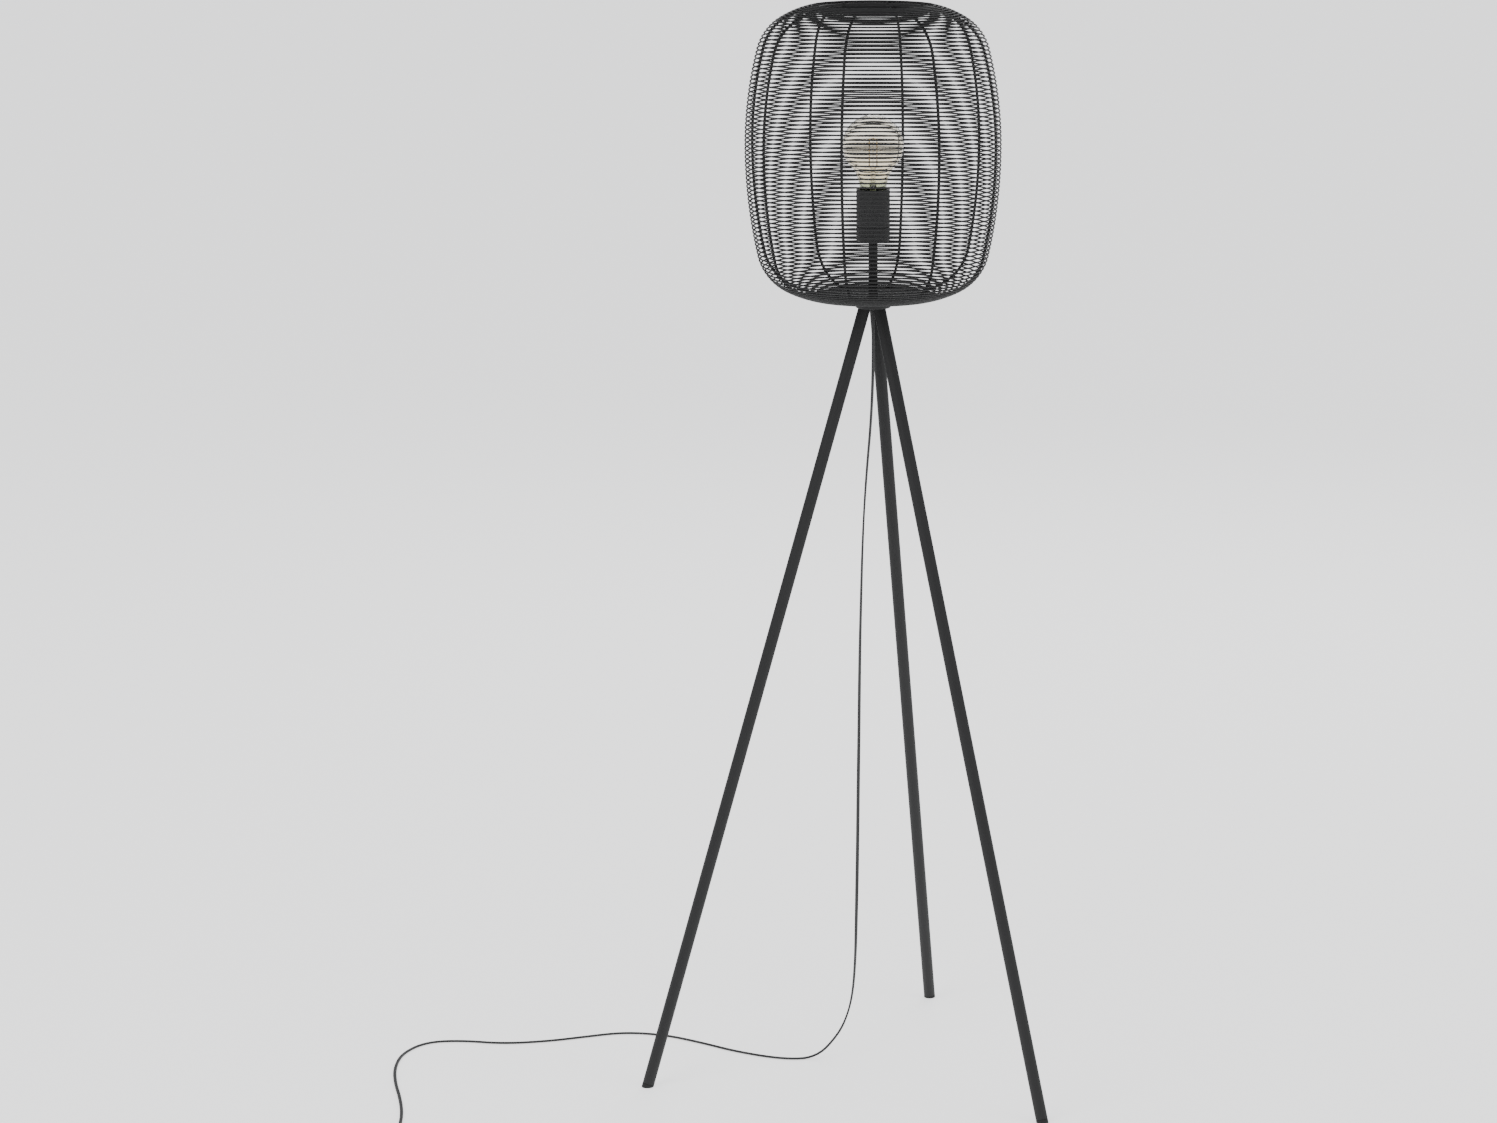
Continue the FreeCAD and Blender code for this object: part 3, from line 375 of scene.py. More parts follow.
# %% The smooth route
def nurbs_path(points, resolution=6):
    """Points along the smooth curve of a route."""
    data = bpy.data.curves.new("route", "CURVE")
    data.dimensions = "3D"
    data.resolution_u = resolution
    spline = data.splines.new("NURBS")
    spline.points.add(len(points) - 1)
    for point, co in zip(spline.points, points):
        point.co = (*co, 1)
    spline.order_u = 3
    spline.use_endpoint_u = True
    curve = bpy.data.objects.new("route", data)
    bpy.context.collection.objects.link(curve)
    bpy.context.view_layer.update()
    line = bpy.data.meshes.new_from_object(
        curve.evaluated_get(bpy.context.evaluated_depsgraph_get())
    )
    path = [v.co.copy() for v in line.vertices]
    bpy.data.objects.remove(curve)
    bpy.data.meshes.remove(line)
    return path


def path_length(path):
    return sum((b - a).length for a, b in zip(path, path[1:]))


main_points = [place(*p) for p in HANGING]
main_points += [place(x, y, CORD_HEIGHT) for x, y in ON_FLOOR]
main_points += [place(*p) for p in TO_SWITCH]
main_path = nurbs_path(main_points)
print("cord to the switch", round(path_length(main_path), 3), "m")

# %% [markdown]
# It is a flat two-core cord, so a dumb-bell section is swept along the curve. The sweep carries the
# section's side direction from step to step, which keeps it from spinning round the curve, and it
# starts from the end on the floor, where the cord has to lie flat.

# %% Section and sweep
CORE_RADIUS = 1.4
CORE_OFFSET = 1.0  # of each core from the cord's middle
WAIST = 1.1  # half the thickness between the cores


def flat_section():
    """Two round cores side by side with a shallow waist, as (across, up) in millimetres."""
    section = []
    for side, start in ((1, -75), (-1, 105)):
        for i in range(6):
            a = math.radians(start + 30 * i)
            section.append((side * CORE_OFFSET + CORE_RADIUS * math.cos(a), CORE_RADIUS * math.sin(a)))
        section.append((0, side * WAIST))
    return section


def join_loops(bm, loops):
    """Joins loops of corners one after another, corner by corner, and closes both ends."""
    for a, b in zip(loops, loops[1:]):
        for k in range(len(a)):
            j = (k + 1) % len(a)
            bm.faces.new((a[k], a[j], b[j], b[k]))
    bm.faces.new(loops[0])
    bm.faces.new(loops[-1])


def swept(path, section, turn=lambda p: 0.0, grow=lambda share: 1.0):
    """A bmesh of the section carried along the path, level where the path is level."""
    ahead = [(b - a).normalized() for a, b in zip(path, path[1:])]
    ahead.append(ahead[-1])
    side = ahead[-1].cross(UP).normalized()
    sides = []
    for t in reversed(ahead):
        side = (side - t * side.dot(t)).normalized()
        sides.append(side)
    sides.reverse()
    bm = bmesh.new()
    loops = []
    for i, (p, t, s) in enumerate(zip(path, ahead, sides)):
        s = Matrix.Rotation(turn(p), 3, t) @ s
        u = s.cross(t)
        size = grow(i / (len(path) - 1)) * MM
        loops.append([bm.verts.new(p + s * (x * size) + u * (y * size)) for x, y in section])
    join_loops(bm, loops)
    return bm


print("section of", len(flat_section()), "corners")

# %% [markdown]
# Where the cord hangs it twists slowly, as a cord that came off a reel does: its broad side shows a
# third of a metre above the floor and its narrow side near the middle of the legs. The twist eases out
# before the floor, where the cord lies flat.

# %% The long stretch, from the hub to the foot switch
BROADSIDE = 0.33  # m above the floor
TWIST_STARTS = 0.03  # m above the floor
TWIST_RISE = 0.3  # m from there until the broad side shows
QUARTER_TURN = 0.44  # m of height for each quarter turn further up


def ease(share):
    """From 0 to 1 with a soft start and a soft end."""
    return share * share * (3 - 2 * share)


def hanging_twist(p):
    if p.z < BROADSIDE:
        return math.pi / 2 * ease(max(0.0, (p.z - TWIST_STARTS) / TWIST_RISE))
    return math.pi / 2 * (1 + (p.z - BROADSIDE) / QUARTER_TURN)


main_shape = swept(main_path, flat_section(), hanging_twist)
main_cord = piece("mains_cord", main_shape, "lamp", "cord_black", ["cord"], moved=False)

# %% [markdown]
# The rest of the cord is put away in a small coil beside the plug, outside the picture. Its half turns
# spiral in on the floor and out again on top, so each is an arc whose radius differs by half a pitch.

# %% The coil and its lead
DOWN_FROM_SWITCH = (-478, -458, -444)  # where the lead slopes down from the switch to the floor
COIL_MIDDLE = -424
COIL_RADII = (26.4, 23.75, 26.4, 29.05)  # of its four half turns
ARC_POINTS = 8  # on each half turn
LAYER = 3.1  # from one layer of the coil to the next
LAST_RISE = 0.6  # share of the last half turn after which the cord lifts towards the plug
PLUG_ENTRY = (-407, 7.8)


def coil_points():
    slope, *on_floor = DOWN_FROM_SWITCH
    points = [place(*SWITCH_OUT), place(slope, SWITCH_LINE, ENTRY_HEIGHT)]
    points += [place(x, SWITCH_LINE, CORD_HEIGHT) for x in on_floor]
    y = SWITCH_LINE
    side = 1
    for turn, radius in enumerate(COIL_RADII):
        middle = y - side * radius
        reach = radius / math.cos(math.pi / ARC_POINTS / 2)
        for k in range(ARC_POINTS):
            share = (k + 0.5) / ARC_POINTS
            a = math.pi * share
            climb = [0, ease(share), 1, 1][turn]
            if turn == 3:
                climb += max(0.0, share - LAST_RISE) / (1 - LAST_RISE)
            x = COIL_MIDDLE + side * reach * math.sin(a)
            points.append(place(x, middle + side * reach * math.cos(a), CORD_HEIGHT + LAYER * climb))
        y -= side * 2 * radius
        side = -side
    plug_x, plug_z = PLUG_ENTRY
    points.append(place(plug_x, y, plug_z))
    return points


coil_path = nurbs_path(coil_points(), 5)
coil_shape = swept(coil_path, flat_section())
coil_cord = piece(
    "coiled_cord", coil_shape, "lamp", "cord_black", ["cord_lead", "cord_coil"], moved=False
)
print("coiled cord", round(path_length(coil_path), 3), "m")

# %% [markdown]
# Where a cord enters a housing, a tapered sleeve keeps it from kinking. Each one follows the cord's
# own curve for a couple of centimetres. The sweep is cut into finer steps first, so that the grooves
# round the sleeve come out as real steps in its thickness.

# %% Strain reliefs at the switch
SLEEVE_RADIUS = 2.9
INLET_REACH = 27
OUTLET_REACH = 22


def near(path, point, reach):
    return [p for p in path if (p - point).length < reach * MM]


def round_section(radius, count):
    corners = [2 * math.pi * i / count for i in range(count)]
    return [(radius * math.cos(a), radius * math.sin(a)) for a in corners]


def strain_sleeve(name, path):
    """A grooved, tapered sleeve along a path that starts at the housing."""
    fine = []
    for a, b in zip(path, path[1:]):
        fine += [a.lerp(b, i / 6) for i in range(6)]
    fine.append(path[-1])

    def grow(share):
        groove = 0.07 * (math.sin(share * math.pi * 7) > 0.3)
        return (1.42 - 0.25 * share) * (1 - groove)

    shape = swept(fine, round_section(SLEEVE_RADIUS, 24), grow=grow)
    return piece(name, shape, "lamp", "switch_black", moved=False)


inlet_path = near(main_path, place(*SWITCH_IN), INLET_REACH)[::-1]
outlet_path = near(coil_path, place(*SWITCH_OUT), OUTLET_REACH)
inlet_relief = strain_sleeve("switch_inlet_sleeve", inlet_path)
outlet_relief = strain_sleeve("switch_outlet_sleeve", outlet_path)

# %% [markdown]
# ## The wire cage
# Eight upright ribs are bent from thick wire along six tangent arcs, and 84 level rings of thin wire
# are welded round them. With their coat, the ribs are nearly 4 mm thick and the rings a little over 2.
# The helper below walks those arcs from the mouth down to the foot. Each arc starts where the one
# before it ends, in the same direction, so the side view has no kink.

# %% The cage's side view
WIDEST = 166.5  # at the cage's widest place, to the middle of the CAD model's rings
UPPER = [(506.0, 14.5), (64.8, 58.2), (127.0, None)]  # radius and last angle of each arc
LOWER = [(646.0, 12.7), (66.3, 63.9), (136.0, None)]
MOUTH_END = 72.5  # radius at which the ribs end at the mouth
FOOT_END = 84.0  # and where they reach the plate
RINGS_TO_RIBS = 0.9  # from the middle of the CAD model's rings in to the ribs
SEAT = 0.05  # between pieces that are welded or pressed together


def arc_chain(arcs, side, inwards, end_radius, widest_height):
    """Tangent arcs as (centre radius, centre height, radius, side, first angle, last angle)."""
    out = []
    x, z, angle = WIDEST - inwards, widest_height, 0.0
    for radius, end in arcs:
        radius -= inwards
        cx, cz = x - radius * math.cos(angle), z - side * radius * math.sin(angle)
        last = math.radians(end) if end else math.acos((end_radius - cx) / radius)
        out.append((cx, cz, radius, side, angle, last))
        x, z, angle = cx + radius * math.cos(last), cz + side * radius * math.sin(last), last
    return out


def cage_arcs(inwards, height):
    """The six arcs from the mouth down to the foot."""
    upper = arc_chain(UPPER, 1, inwards, MOUTH_END, height)
    lower = arc_chain(LOWER, -1, inwards, FOOT_END, height)
    return [(cx, cz, r, s, b, a) for cx, cz, r, s, a, b in reversed(upper)] + lower


def on_arc(arc, angle):
    cx, cz, radius, side, _, _ = arc
    return cx + radius * math.cos(angle), cz + side * radius * math.sin(angle)


plate_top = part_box("base_plate")[1][2] * 1000
lowest_arc = cage_arcs(RINGS_TO_RIBS + SEAT, 0.0)[-1]
widest_height = plate_top + SEAT - on_arc(lowest_arc, lowest_arc[5])[1]
seat_arcs = cage_arcs(RINGS_TO_RIBS + SEAT, widest_height)
seat_length = sum(arc[2] * abs(arc[5] - arc[4]) for arc in seat_arcs)
print("profile", round(seat_length, 1), "mm, widest at", round(widest_height, 1))

# %% [markdown]
# A rib is a small circle spun about one arc's centre after another, which is just how a bending machine
# makes it. At the bottom it bends level and runs on a little way over the plate, where it is welded.
# One rib is shaped in the XZ plane, turned to its place, and copied round the axis.

# %% Ribs
RIBS = 8
RIB_AZIMUTH = math.radians(75.9)
RIB_THICKNESS = 3.8
RIB_SIDES = 10
FOOT_BEND = 4  # radius of the last bend
FOOT_RUN = 5.0  # level length past it


def bent_wire(arcs):
    """One rib in the XZ plane: a circle spun along the arcs, then bent level and run on for its foot."""
    bm = bmesh.new()
    x, z = on_arc(arcs[0], arcs[0][4])
    tilt = Matrix.Rotation(math.pi - arcs[0][4], 4, "Y")
    start = Matrix.Translation((x * MM, 0, z * MM)) @ tilt
    circle = bmesh.ops.create_circle(bm, segments=RIB_SIDES, radius=RIB_THICKNESS / 2 * MM, matrix=start)
    loop = circle["verts"] + list({e for v in circle["verts"] for e in v.link_edges})
    for cx, cz, radius, side, first, last in arcs:
        sweep = abs(last - first)
        steps = max(4, round(math.degrees(sweep) / (2.5 if radius < 200 else 1.5)))
        out = bmesh.ops.spin(
            bm, geom=loop, cent=(cx * MM, 0, cz * MM), axis=(0, 1, 0), angle=sweep, steps=steps
        )
        loop = out["geom_last"]
    end = sum((v.co for v in of_kind(loop, bmesh.types.BMVert)), Vector()) / RIB_SIDES
    slope = math.pi / 2 - arcs[-1][5]
    centre = end + Vector((-math.sin(slope), 0, math.cos(slope))) * FOOT_BEND * MM
    out = bmesh.ops.spin(bm, geom=loop, cent=centre, axis=(0, 1, 0), angle=slope, steps=3)
    edges = of_kind(out["geom_last"], bmesh.types.BMEdge)
    made = bmesh.ops.extrude_edge_only(bm, edges=edges)["geom"]
    bmesh.ops.translate(bm, vec=(-FOOT_RUN * MM, 0, 0), verts=of_kind(made, bmesh.types.BMVert))
    bmesh.ops.holes_fill(bm, edges=[e for e in bm.edges if e.is_boundary])
    soften(bm, 0.35, limit=60)
    return bm


def make_ribs():
    bm = bent_wire(cage_arcs(RINGS_TO_RIBS + SEAT + RIB_THICKNESS / 2, widest_height))
    turn = Matrix.Rotation(RIB_AZIMUTH, 3, "Z")
    bmesh.ops.rotate(bm, cent=(0, 0, 0), matrix=turn, verts=bm.verts[:])
    bmesh.ops.spin(
        bm,
        geom=bm.verts[:] + bm.edges[:] + bm.faces[:],
        cent=(0, 0, 0),
        axis=(0, 0, 1),
        angle=2 * math.pi * (RIBS - 1) / RIBS,
        steps=RIBS - 1,
        use_duplicate=True,
    )
    piece("upright_ribs", bm, "lamp", "painted_steel", ["cage_ribs"])


make_ribs()

# %% [markdown]
# The rings are the same move once more: small circles standing on the profile, spun a full turn about
# the lamp's axis. Fourteen rings make a band, as in the CAD model, so six pieces hold all 84. They are
# spaced evenly along the curve and not in height, so seen from the side they crowd where the cage
# turns in.

# %% Rings of wire
RINGS = 84
BANDS = 6
WIRE_RADIUS = 1.15
FIRST_RING = 7.5  # along the profile from the mouth
LAST_RING = 2.5  # along the profile from the foot


def seat_at(distance):
    """The point on the ribs' outer face at a distance from the mouth, and the direction outwards."""
    for arc in seat_arcs:
        length = arc[2] * abs(arc[5] - arc[4])
        if distance <= length or arc is seat_arcs[-1]:
            angle = arc[4] + (arc[5] - arc[4]) * distance / length
            return on_arc(arc, angle), (math.cos(angle), arc[3] * math.sin(angle))
        distance -= length


def upright_circle(bm, centre, radius, segments):
    """The cross-section of a ring of wire, at a centre in metres."""
    upright = Matrix.Translation(centre) @ Matrix.Rotation(math.pi / 2, 4, "X")
    bmesh.ops.create_circle(bm, segments=segments, radius=radius * MM, matrix=upright)


def make_band(band):
    bm = bmesh.new()
    step = (seat_length - FIRST_RING - LAST_RING) / (RINGS - 1)
    for i in range(RINGS // BANDS):
        distance = seat_length - LAST_RING - (band * RINGS // BANDS + i) * step
        (r, z), (out, up) = seat_at(distance)
        off = SEAT + WIRE_RADIUS
        upright_circle(bm, Vector((r + off * out, 0, z + off * up)) * MM, WIRE_RADIUS, 8)
    full_turn(bm, 96)
    number = band + 1
    piece("ring_band_%d" % number, bm, "lamp", "painted_steel", ["cage_wires_%d" % number])


for band in range(BANDS):
    make_band(band)

# %% [markdown]
# One thicker ring closes the cage round its open mouth. The tips of the ribs are welded to it, and it
# gives the cage the dark line along its top. It is the same spun circle, with more corners for its size.

# %% The thicker ring round the mouth
MOUTH_RADIUS = 75
MOUTH_WIRE = 2  # radius of its wire
MOUTH_LIFT = 1.8  # above the CAD model's ring, so that the tips of the ribs run into it


def make_mouth_ring():
    height = box_middle("mouth_ring")[2] + MOUTH_LIFT * MM
    bm = bmesh.new()
    upright_circle(bm, Vector((MOUTH_RADIUS * MM, 0, height)), MOUTH_WIRE, 14)
    full_turn(bm, 120)
    piece("mouth_wire", bm, "lamp", "painted_steel", ["mouth_ring"])


make_mouth_ring()

# %% [markdown]
# ## Plate, hub and stem
# These are plain turned parts, so an outline spun round the axis makes each one. The small bevels are
# what shows: a coated edge is never sharp, and the thin light line on it tells the eye it is metal.

# %% Plate, hub and stem
HUB_LOW = 1048  # heights above the floor
HUB_HIGH = 1061
PLATE_HIGH = 1063
STEM_HIGH = 1135
PLATE_RADIUS = 84
HUB_RADIUS = 23.2
HUB_BORE = 3.6
STEM_RADIUS = 6
STEM_BORE = 5.2


def tube_outline(inner, outer, low, high):
    return [(inner, low), (outer, low), (outer, high), (inner, high)]


def make_plate():
    bm = turned(tube_outline(STEM_BORE, PLATE_RADIUS, HUB_HIGH + SEAT, PLATE_HIGH), 160, closed=True)
    soften(bm, 0.45)
    piece("round_plate", bm, "lamp", "plate_paint", ["base_plate"])


def make_hub():
    outline = [(HUB_BORE, HUB_LOW), (HUB_RADIUS - 1, HUB_LOW), (HUB_RADIUS, HUB_LOW + 1)]
    outline += [(HUB_RADIUS, HUB_HIGH), (HUB_BORE, HUB_HIGH)]
    bm = turned(outline, 96, closed=True)
    soften(bm, 0.5)
    piece("turned_hub", bm, "lamp", "painted_steel", ["leg_hub"])


def make_stem():
    outline = tube_outline(STEM_BORE, STEM_RADIUS, PLATE_HIGH + SEAT, STEM_HIGH - SEAT)
    piece("stem", turned(outline, 48, closed=True), "lamp", "painted_steel", ["stem_tube"])


make_plate()
make_hub()
make_stem()

# %% [markdown]
# ## Legs and feet
# Each leg is a straight 16 mm tube. It is a long cylinder stood along the leg's line, and a cut with a
# level plane mitres its top where it meets the hub. The feet are cut level with the floor the same way.

# %% Legs
LEGS = {"left": 195.0, "right": 315.0, "back": 75.0}  # degrees round the axis
FOOT_CIRCLE = 314.8  # radius on which the legs' middle lines meet the floor
TOP_CIRCLE = 11.7  # and the hub's underside
LEG_RADIUS = 8
LEG_START = 5  # along the leg from the floor
SPARE = 12  # extra length that the cut takes off


def leg_line(azimuth):
    around = Vector((math.cos(math.radians(azimuth)), math.sin(math.radians(azimuth)), 0))
    foot = around * FOOT_CIRCLE * MM
    top = around * TOP_CIRCLE * MM + UP * HUB_LOW * MM
    return foot, top, (top - foot).normalized()


def rod(bm, start, end, radius, segments=48):
    """Adds a capped cylinder between two points, all in metres."""
    along = end - start
    turn = along.to_track_quat("Z", "Y").to_matrix().to_4x4()
    bmesh.ops.create_cone(
        bm,
        cap_ends=True,
        segments=segments,
        radius1=radius,
        radius2=radius,
        depth=along.length,
        matrix=Matrix.Translation((start + end) / 2) @ turn,
    )


def cut_level(bm, height, keep_below):
    """Cuts everything at a height in metres and closes the cut."""
    bmesh.ops.bisect_plane(
        bm,
        geom=bm.verts[:] + bm.edges[:] + bm.faces[:],
        plane_co=(0, 0, height),
        plane_no=(0, 0, 1),
        clear_outer=keep_below,
        clear_inner=not keep_below,
    )
    bmesh.ops.holes_fill(bm, edges=[e for e in bm.edges if e.is_boundary])


def make_leg(name, azimuth):
    foot, top, along = leg_line(azimuth)
    bm = bmesh.new()
    rod(bm, foot + along * LEG_START * MM, top + along * SPARE * MM, LEG_RADIUS * MM)
    cut_level(bm, (HUB_LOW - SEAT) * MM, True)
    soften(bm, 0.25)
    piece("leg_" + name, bm, "lamp", "painted_steel", ["leg_tube_" + name])


for name, azimuth in LEGS.items():
    make_leg(name, azimuth)

# %% [markdown]
# A plastic foot closes each tube. All three are one piece, because they are one kind of part: each is
# shaped in a bmesh of its own, so that its cut touches no other foot, and then added to the whole.

# %% Feet
FOOT_SPARE = 8  # extra length under the floor, for the cut
FOOT_LENGTH = 4.9  # along the leg from the floor


def make_feet():
    whole = bmesh.new()
    for azimuth in LEGS.values():
        foot, _, along = leg_line(azimuth)
        bm = bmesh.new()
        rod(bm, foot - along * FOOT_SPARE * MM, foot + along * FOOT_LENGTH * MM, LEG_RADIUS * MM)
        cut_level(bm, 0.0, False)
        soften(bm, 0.7, 3)
        part = bpy.data.meshes.new("foot")
        bm.to_mesh(part)
        bm.free()
        whole.from_mesh(part)
        bpy.data.meshes.remove(part)
    piece("leg_feet", whole, "lamp", "foot_plastic", ["feet"])


make_feet()

# %% [markdown]
# ## Lampholder
# A plain cylindrical lampholder in two parts: a cup with a chamfered lower edge, and a sleeve screwed
# into it. A hair-wide joint between them and a rounded rim are all the ornament it has.

# %% Lampholder
HOLDER_RADIUS = 22
HOLDER_BORE = 5.05
SLEEVE_BORE = 18.2
HOLDER_HIGH = 1204


def make_holder_cup():
    outline = [(HOLDER_BORE, STEM_HIGH), (19.5, STEM_HIGH), (HOLDER_RADIUS, STEM_HIGH + 2.5)]
    outline += [(HOLDER_RADIUS, 1154.9), (20.2, 1154.9), (20.2, 1138), (HOLDER_BORE, 1138)]
    bm = turned(outline, 96, closed=True)
    soften(bm, 0.4, 3)
    piece("holder_cup", bm, "lamp", "holder_plastic", ["lampholder_cap"])


def make_holder_sleeve():
    outline = [(SLEEVE_BORE, 1149), (19.9, 1149), (19.9, 1155.15), (HOLDER_RADIUS, 1155.15)]
    outline += [(HOLDER_RADIUS, HOLDER_HIGH), (SLEEVE_BORE, HOLDER_HIGH)]
    bm = turned(outline, 96, closed=True)
    soften(bm, 0.5, 3)
    piece("holder_sleeve", bm, "lamp", "holder_plastic", ["lampholder_skirt"])


make_holder_cup()
make_holder_sleeve()

# %% [markdown]
# ## Bulb
# The glass is one thin shell: its outline runs from the crown round the globe, down the neck to the
# rim, and back up inside. A shell with a real wall bends the light at its edge only, as blown glass
# does, where a solid ball would turn the picture behind it upside down.

# %% Bulb glass
GLOBE_RADIUS = 40.0
GLOBE_HEIGHT = 1261.0
GLASS_WALL = 0.7
NECK = [(21.6, 1222.5), (19.4, 1215), (18.0, 1209), (17.0, 1205), (16.3, 1202)]
RIM = [(13.4, 1200.3), (12.8, 1200.9)]


def glass_outline(inset):
    """From the crown down to the foot of the neck."""
    radius = GLOBE_RADIUS - inset
    points = []
    for degrees in range(90, -51, -5):
        a = math.radians(degrees)
        points.append((max(0.0, radius * math.cos(a)), GLOBE_HEIGHT + radius * math.sin(a)))
    return points + [(r - inset, z) for r, z in NECK]


def make_glass():
    outline = glass_outline(0.0) + RIM + glass_outline(GLASS_WALL)[::-1]
    piece("globe_glass", turned(outline, 96), "bulb", "bulb_glass", ["bulb_glass"], crease=70)


make_glass()

# %% [markdown]
# The screw cap is pressed sheet, so its thread is a row of soft waves. They are rings and not a helix,
# which nobody can tell at this size, and a turned outline stays clean at both ends. Below it sit the
# dark insulator and the tip contact.

# %% Screw cap, insulator and tip
THREAD_HIGH = 1197
THREAD_MIDDLE = 12.75  # radius
THREAD_DEPTH = 0.45
THREAD_STEP = 0.62  # six steps make one wave


def make_screw_cap():
    outline = [(12.7, 1199.9), (13.2, 1199.9), (13.2, THREAD_HIGH)]
    for i in range(25):
        wave = THREAD_MIDDLE + THREAD_DEPTH * math.cos(i * math.pi / 3)
        outline.append((wave, THREAD_HIGH - i * THREAD_STEP))
    outline += [(12.4, 1181), (11.6, 1180.1), (10.8, 1180.1), (12.2, 1182), (12.2, 1199)]
    bm = turned(outline, 64, closed=True)
    piece("screw_cap", bm, "bulb", "bulb_metal", ["bulb_cap"], crease=60)


def make_insulator():
    bm = turned([(0, 1177), (5.6, 1177), (8.5, 1178.2), (12.1, 1179.95), (12.1, 1182), (0, 1182)], 48)
    piece("cap_insulator", bm, "bulb", "bulb_insulator", ["bulb_insulator"])


def make_tip():
    bm = turned([(0, 1175.4), (2.6, 1175.5), (4.2, 1176.2), (4.6, 1176.95), (0, 1176.95)], 48)
    piece("tip_contact", bm, "bulb", "bulb_metal", ["bulb_tip_contact"], crease=60)


make_screw_cap()
make_insulator()
make_tip()

# %% [markdown]
# Inside the globe four upright filaments stand round a glass mount. Each hangs between a wire from the
# mount and a wire from the post in the middle. The wires are thin rods, and everything is one piece,
# since it is welded into one cluster.

# %% Mount and filaments
FILAMENTS = 4
FILAMENT_CIRCLE = 7.0
FILAMENT_RADIUS = 0.75
FILAMENT_SPAN = (1234, 1269)
SUPPORT_RADIUS = 0.3


def make_mount():
    outline = [(0, 1182.2), (11.5, 1182.2), (11.2, 1186), (7.0, 1196), (4.6, 1204), (3.6, 1214)]
    outline += [(3.0, 1228), (3.6, 1230.5), (3.3, 1233), (1.6, 1234.2), (0, 1234.4)]
    piece("glass_mount", turned(outline, 40), "bulb", "mount_glass", ["bulb_mount"], crease=60)


def make_filaments():
    bm = bmesh.new()
    low, high = FILAMENT_SPAN

    def wire(start, end, radius=SUPPORT_RADIUS, segments=8):
        """A rod between two (direction, distance from the axis, height) ends."""
        ends = [around * out * MM + UP * z * MM for around, out, z in (start, end)]
        rod(bm, *ends, radius * MM, segments)

    for i in range(FILAMENTS):
        a = math.radians(45 + 90 * i)
        around = Vector((math.cos(a), math.sin(a), 0))
        wire((around, FILAMENT_CIRCLE, low), (around, FILAMENT_CIRCLE, high), FILAMENT_RADIUS, 12)
        wire((around, 2.0, 1231), (around, FILAMENT_CIRCLE, 1234.3))
        wire((around, 0.4, 1270.5), (around, FILAMENT_CIRCLE, 1268.7))
    wire((UP, 0, 1233), (UP, 0, 1271))
    soften(bm, 0.12, 1, 60)
    piece("filament_rods", bm, "bulb", "filament", ["bulb_filaments"])


make_mount()
make_filaments()

# %% [markdown]
# ## Foot switch
# The switch and plug lie outside the picture, but the part is looked at from all sides. The housing
# starts as a circle whose quarters are pushed apart into a rounded oblong. Such outlines are stacked and
# joined corner by corner. A bridge would pair the corners of an oblong and a circle askew, and twist the
# faces round the button's well.

# %% Foot switch
TRAY = [(60.6, 32.6, 8.3, 0), (62, 34, 9, 0.7), (62, 34, 9, 7.4), (61, 33, 8.5, 7.9)]
LID = [
    (61, 33, 8.5, 8.1), (62, 34, 9, 8.6), (59.6, 31.6, 7.8, 14.0), (57.6, 29.6, 6.9, 16.2),
    (55, 27, 6.2, 17), (17.8, 17.8, 8.9, 17), (16.6, 16.6, 8.3, 16.5), (16.6, 16.6, 8.3, 9.6),
]
BUTTON = [
    (15.6, 15.6, 7.8, 12.4), (16, 16, 8, 12.8), (16, 16, 8, 18.9), (14.6, 14.6, 7.3, 19.7),
    (9, 9, 4.5, 19.2),
]


def oblong(bm, length, width, radius, z, count=48):
    """A level loop of corners: a rounded oblong round the origin, in millimetres."""
    turn = Matrix.Translation((0, 0, z * MM)) @ Matrix.Rotation(math.pi / count, 4, "Z")
    verts = bmesh.ops.create_circle(bm, segments=count, radius=radius * MM, matrix=turn)["verts"]
    for v in verts:
        across = math.copysign(length / 2 - radius, v.co.x)
        along = math.copysign(width / 2 - radius, v.co.y)
        bmesh.ops.translate(bm, vec=Vector((across, along, 0)) * MM, verts=[v])
    return verts


def stacked(loops):
    """A closed bmesh of loops of (length, width, corner radius, height), moved to the switch."""
    bm = bmesh.new()
    join_loops(bm, [oblong(bm, *loop) for loop in loops])
    bmesh.ops.recalc_face_normals(bm, faces=bm.faces[:])
    x, y, _ = box_middle("switch_base")
    bmesh.ops.translate(bm, vec=(x, y, 0), verts=bm.verts[:])
    return bm


def switch_part(name, loops, body, node, crease=35):
    return piece(name, stacked(loops), body, "switch_black", [node], moved=False, crease=crease)


switch = [
    switch_part("switch_tray", TRAY, "lamp", "switch_base"),
    switch_part("switch_lid", LID, "lamp", "switch_cover", 50),
    switch_part("press_button", BUTTON, "switch_button", "switch_button", 50),
]

# %% [markdown]
# ## Plug
# A flat two-pin plug: a block that widens from the cord to the pins, with well rounded edges and a
# shallow waist for the fingers, a ribbed neck round the cord, and two round pins with smooth tips.

# %% Plug
PLUG_OUTLINE = [(0, 7.5), (8, 12.5), (16, 17.5), (20, 17.5), (28, 16.3), (36, 17.3)]  # from the cord
PLUG_LENGTH = 36
PLUG_THICKNESS = 15.2
NECK_STEPS = 53
NECK_STEP = 0.5
PIN_RADIUS = 2


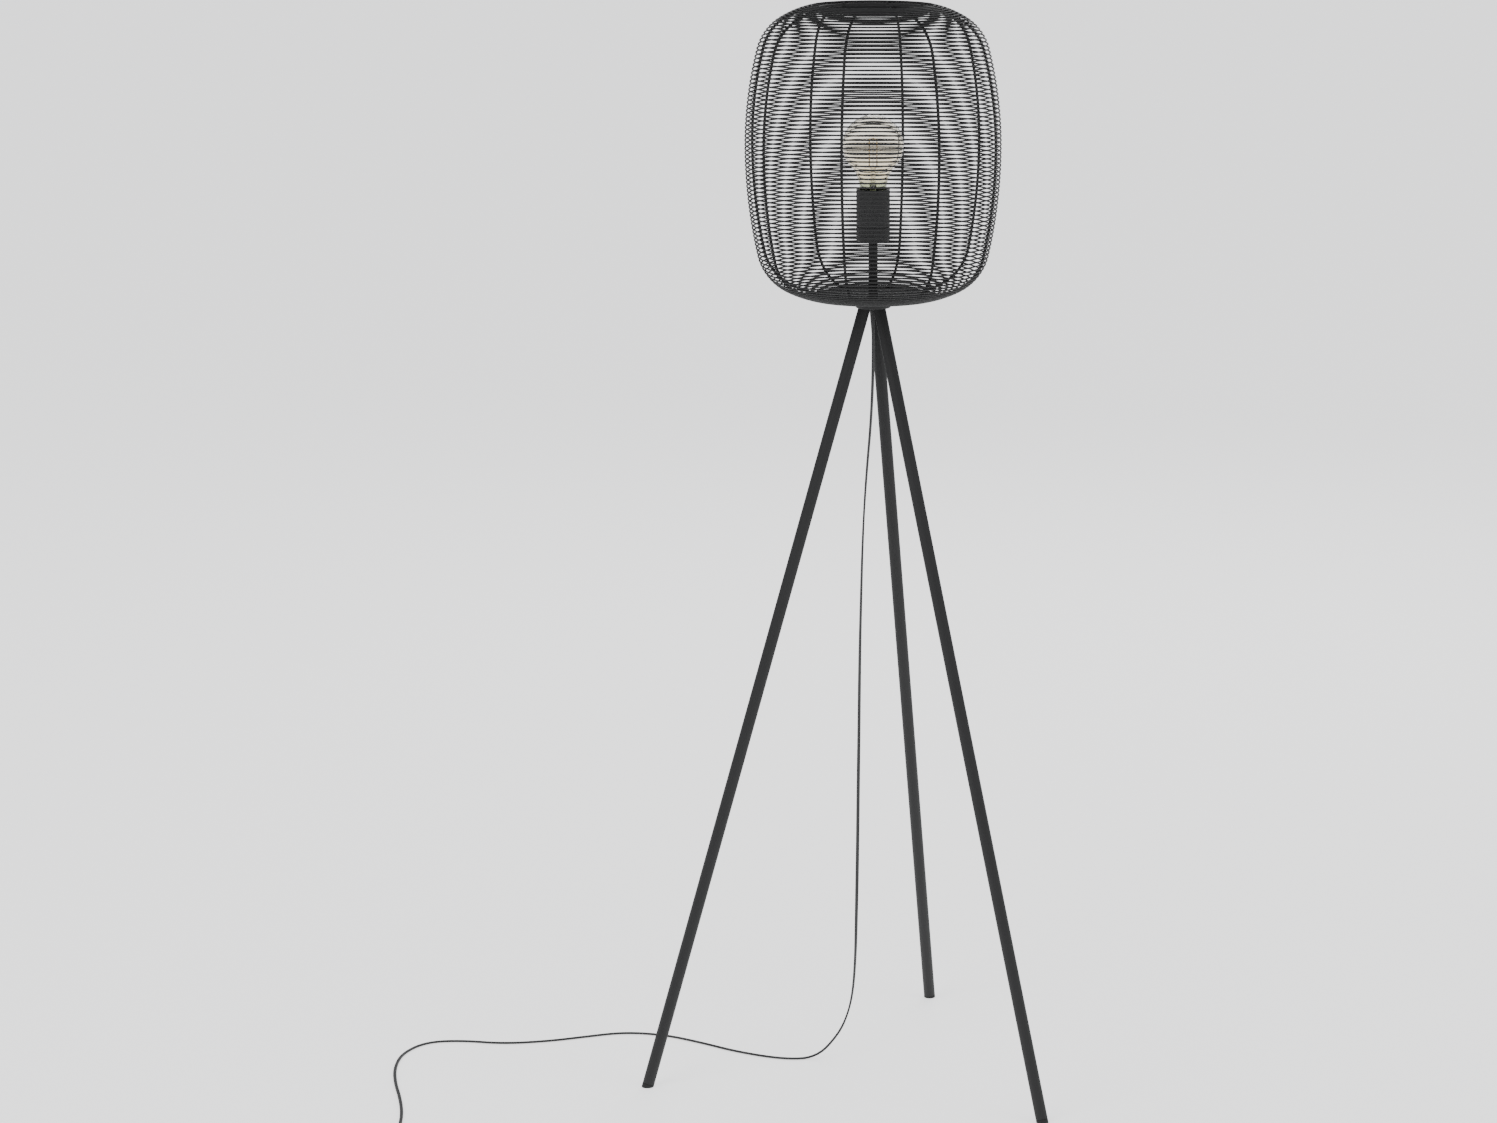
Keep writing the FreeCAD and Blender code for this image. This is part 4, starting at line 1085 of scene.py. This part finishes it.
def make_plug():
    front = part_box("plug_body")[1][0]
    _, y, z = box_middle("plug_body")
    low = z - PLUG_THICKNESS / 2 * MM
    outline = PLUG_OUTLINE + [(x, -w) for x, w in reversed(PLUG_OUTLINE)]
    bm = bmesh.new()
    verts = [bm.verts.new((front + (x - PLUG_LENGTH) * MM, y + w * MM, low)) for x, w in outline]
    face = bm.faces.new(verts)
    made = bmesh.ops.extrude_face_region(bm, geom=[face])["geom"]
    lifted = of_kind(made, bmesh.types.BMVert)
    bmesh.ops.translate(bm, vec=(0, 0, PLUG_THICKNESS * MM), verts=lifted)
    soften(bm, 2.2, 5, 40)
    return piece("plug_block", bm, "lamp", "cord_black", ["plug_body"], moved=False, crease=50)


def make_plug_neck():
    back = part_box("plug_body")[0][0]
    _, y, z = box_middle("plug_body")
    start = Vector((back, y, z))
    path = [start + Vector((i * NECK_STEP * MM, 0, 0)) for i in range(NECK_STEPS)]

    def grow(share):
        ridge = 0.0 if share > 0.85 else 0.35 * (math.sin(share * math.pi * 14) > 0.2)
        return 3.6 + 1.7 * share - ridge

    bm = swept(path, round_section(1.0, 28), grow=grow)
    return piece("plug_neck", bm, "lamp", "cord_black", moved=False, crease=50)


def make_pins():
    low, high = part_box("plug_pins")
    z = box_middle("plug_pins")[2]
    bm = bmesh.new()
    for y in (low[1] + PIN_RADIUS * MM, high[1] - PIN_RADIUS * MM):
        rod(bm, Vector((low[0], y, z)), Vector((high[0], y, z)), PIN_RADIUS * MM, 32)
    soften(bm, 0.9, 4)
    return piece("round_pins", bm, "lamp", "pin_metal", ["plug_pins"], moved=False, crease=60)


plug = [make_plug(), make_plug_neck(), make_pins()]

# %% [markdown]
# ## The pieces that stay as the CAD made them
# Studs, inserts, rod, washer, nut, contacts and the inner end of the cord are hidden or nearly so.
# Their shapes are right, so they only get their finish.

# %% Finishes for the CAD nodes
for part in frame["record"]["subparts"]:
    node = frame["nodes"][part["node"]]
    for holder in node.material_slots:
        holder.material = FINISH[part["material_slot"]]

# %% [markdown]
# ## The length of the two cords
# The first one ends in the foot switch, and the second runs on from there to the plug.

# %% Cords
print("cord in all", round(path_length(main_path) + path_length(coil_path), 2), "m")
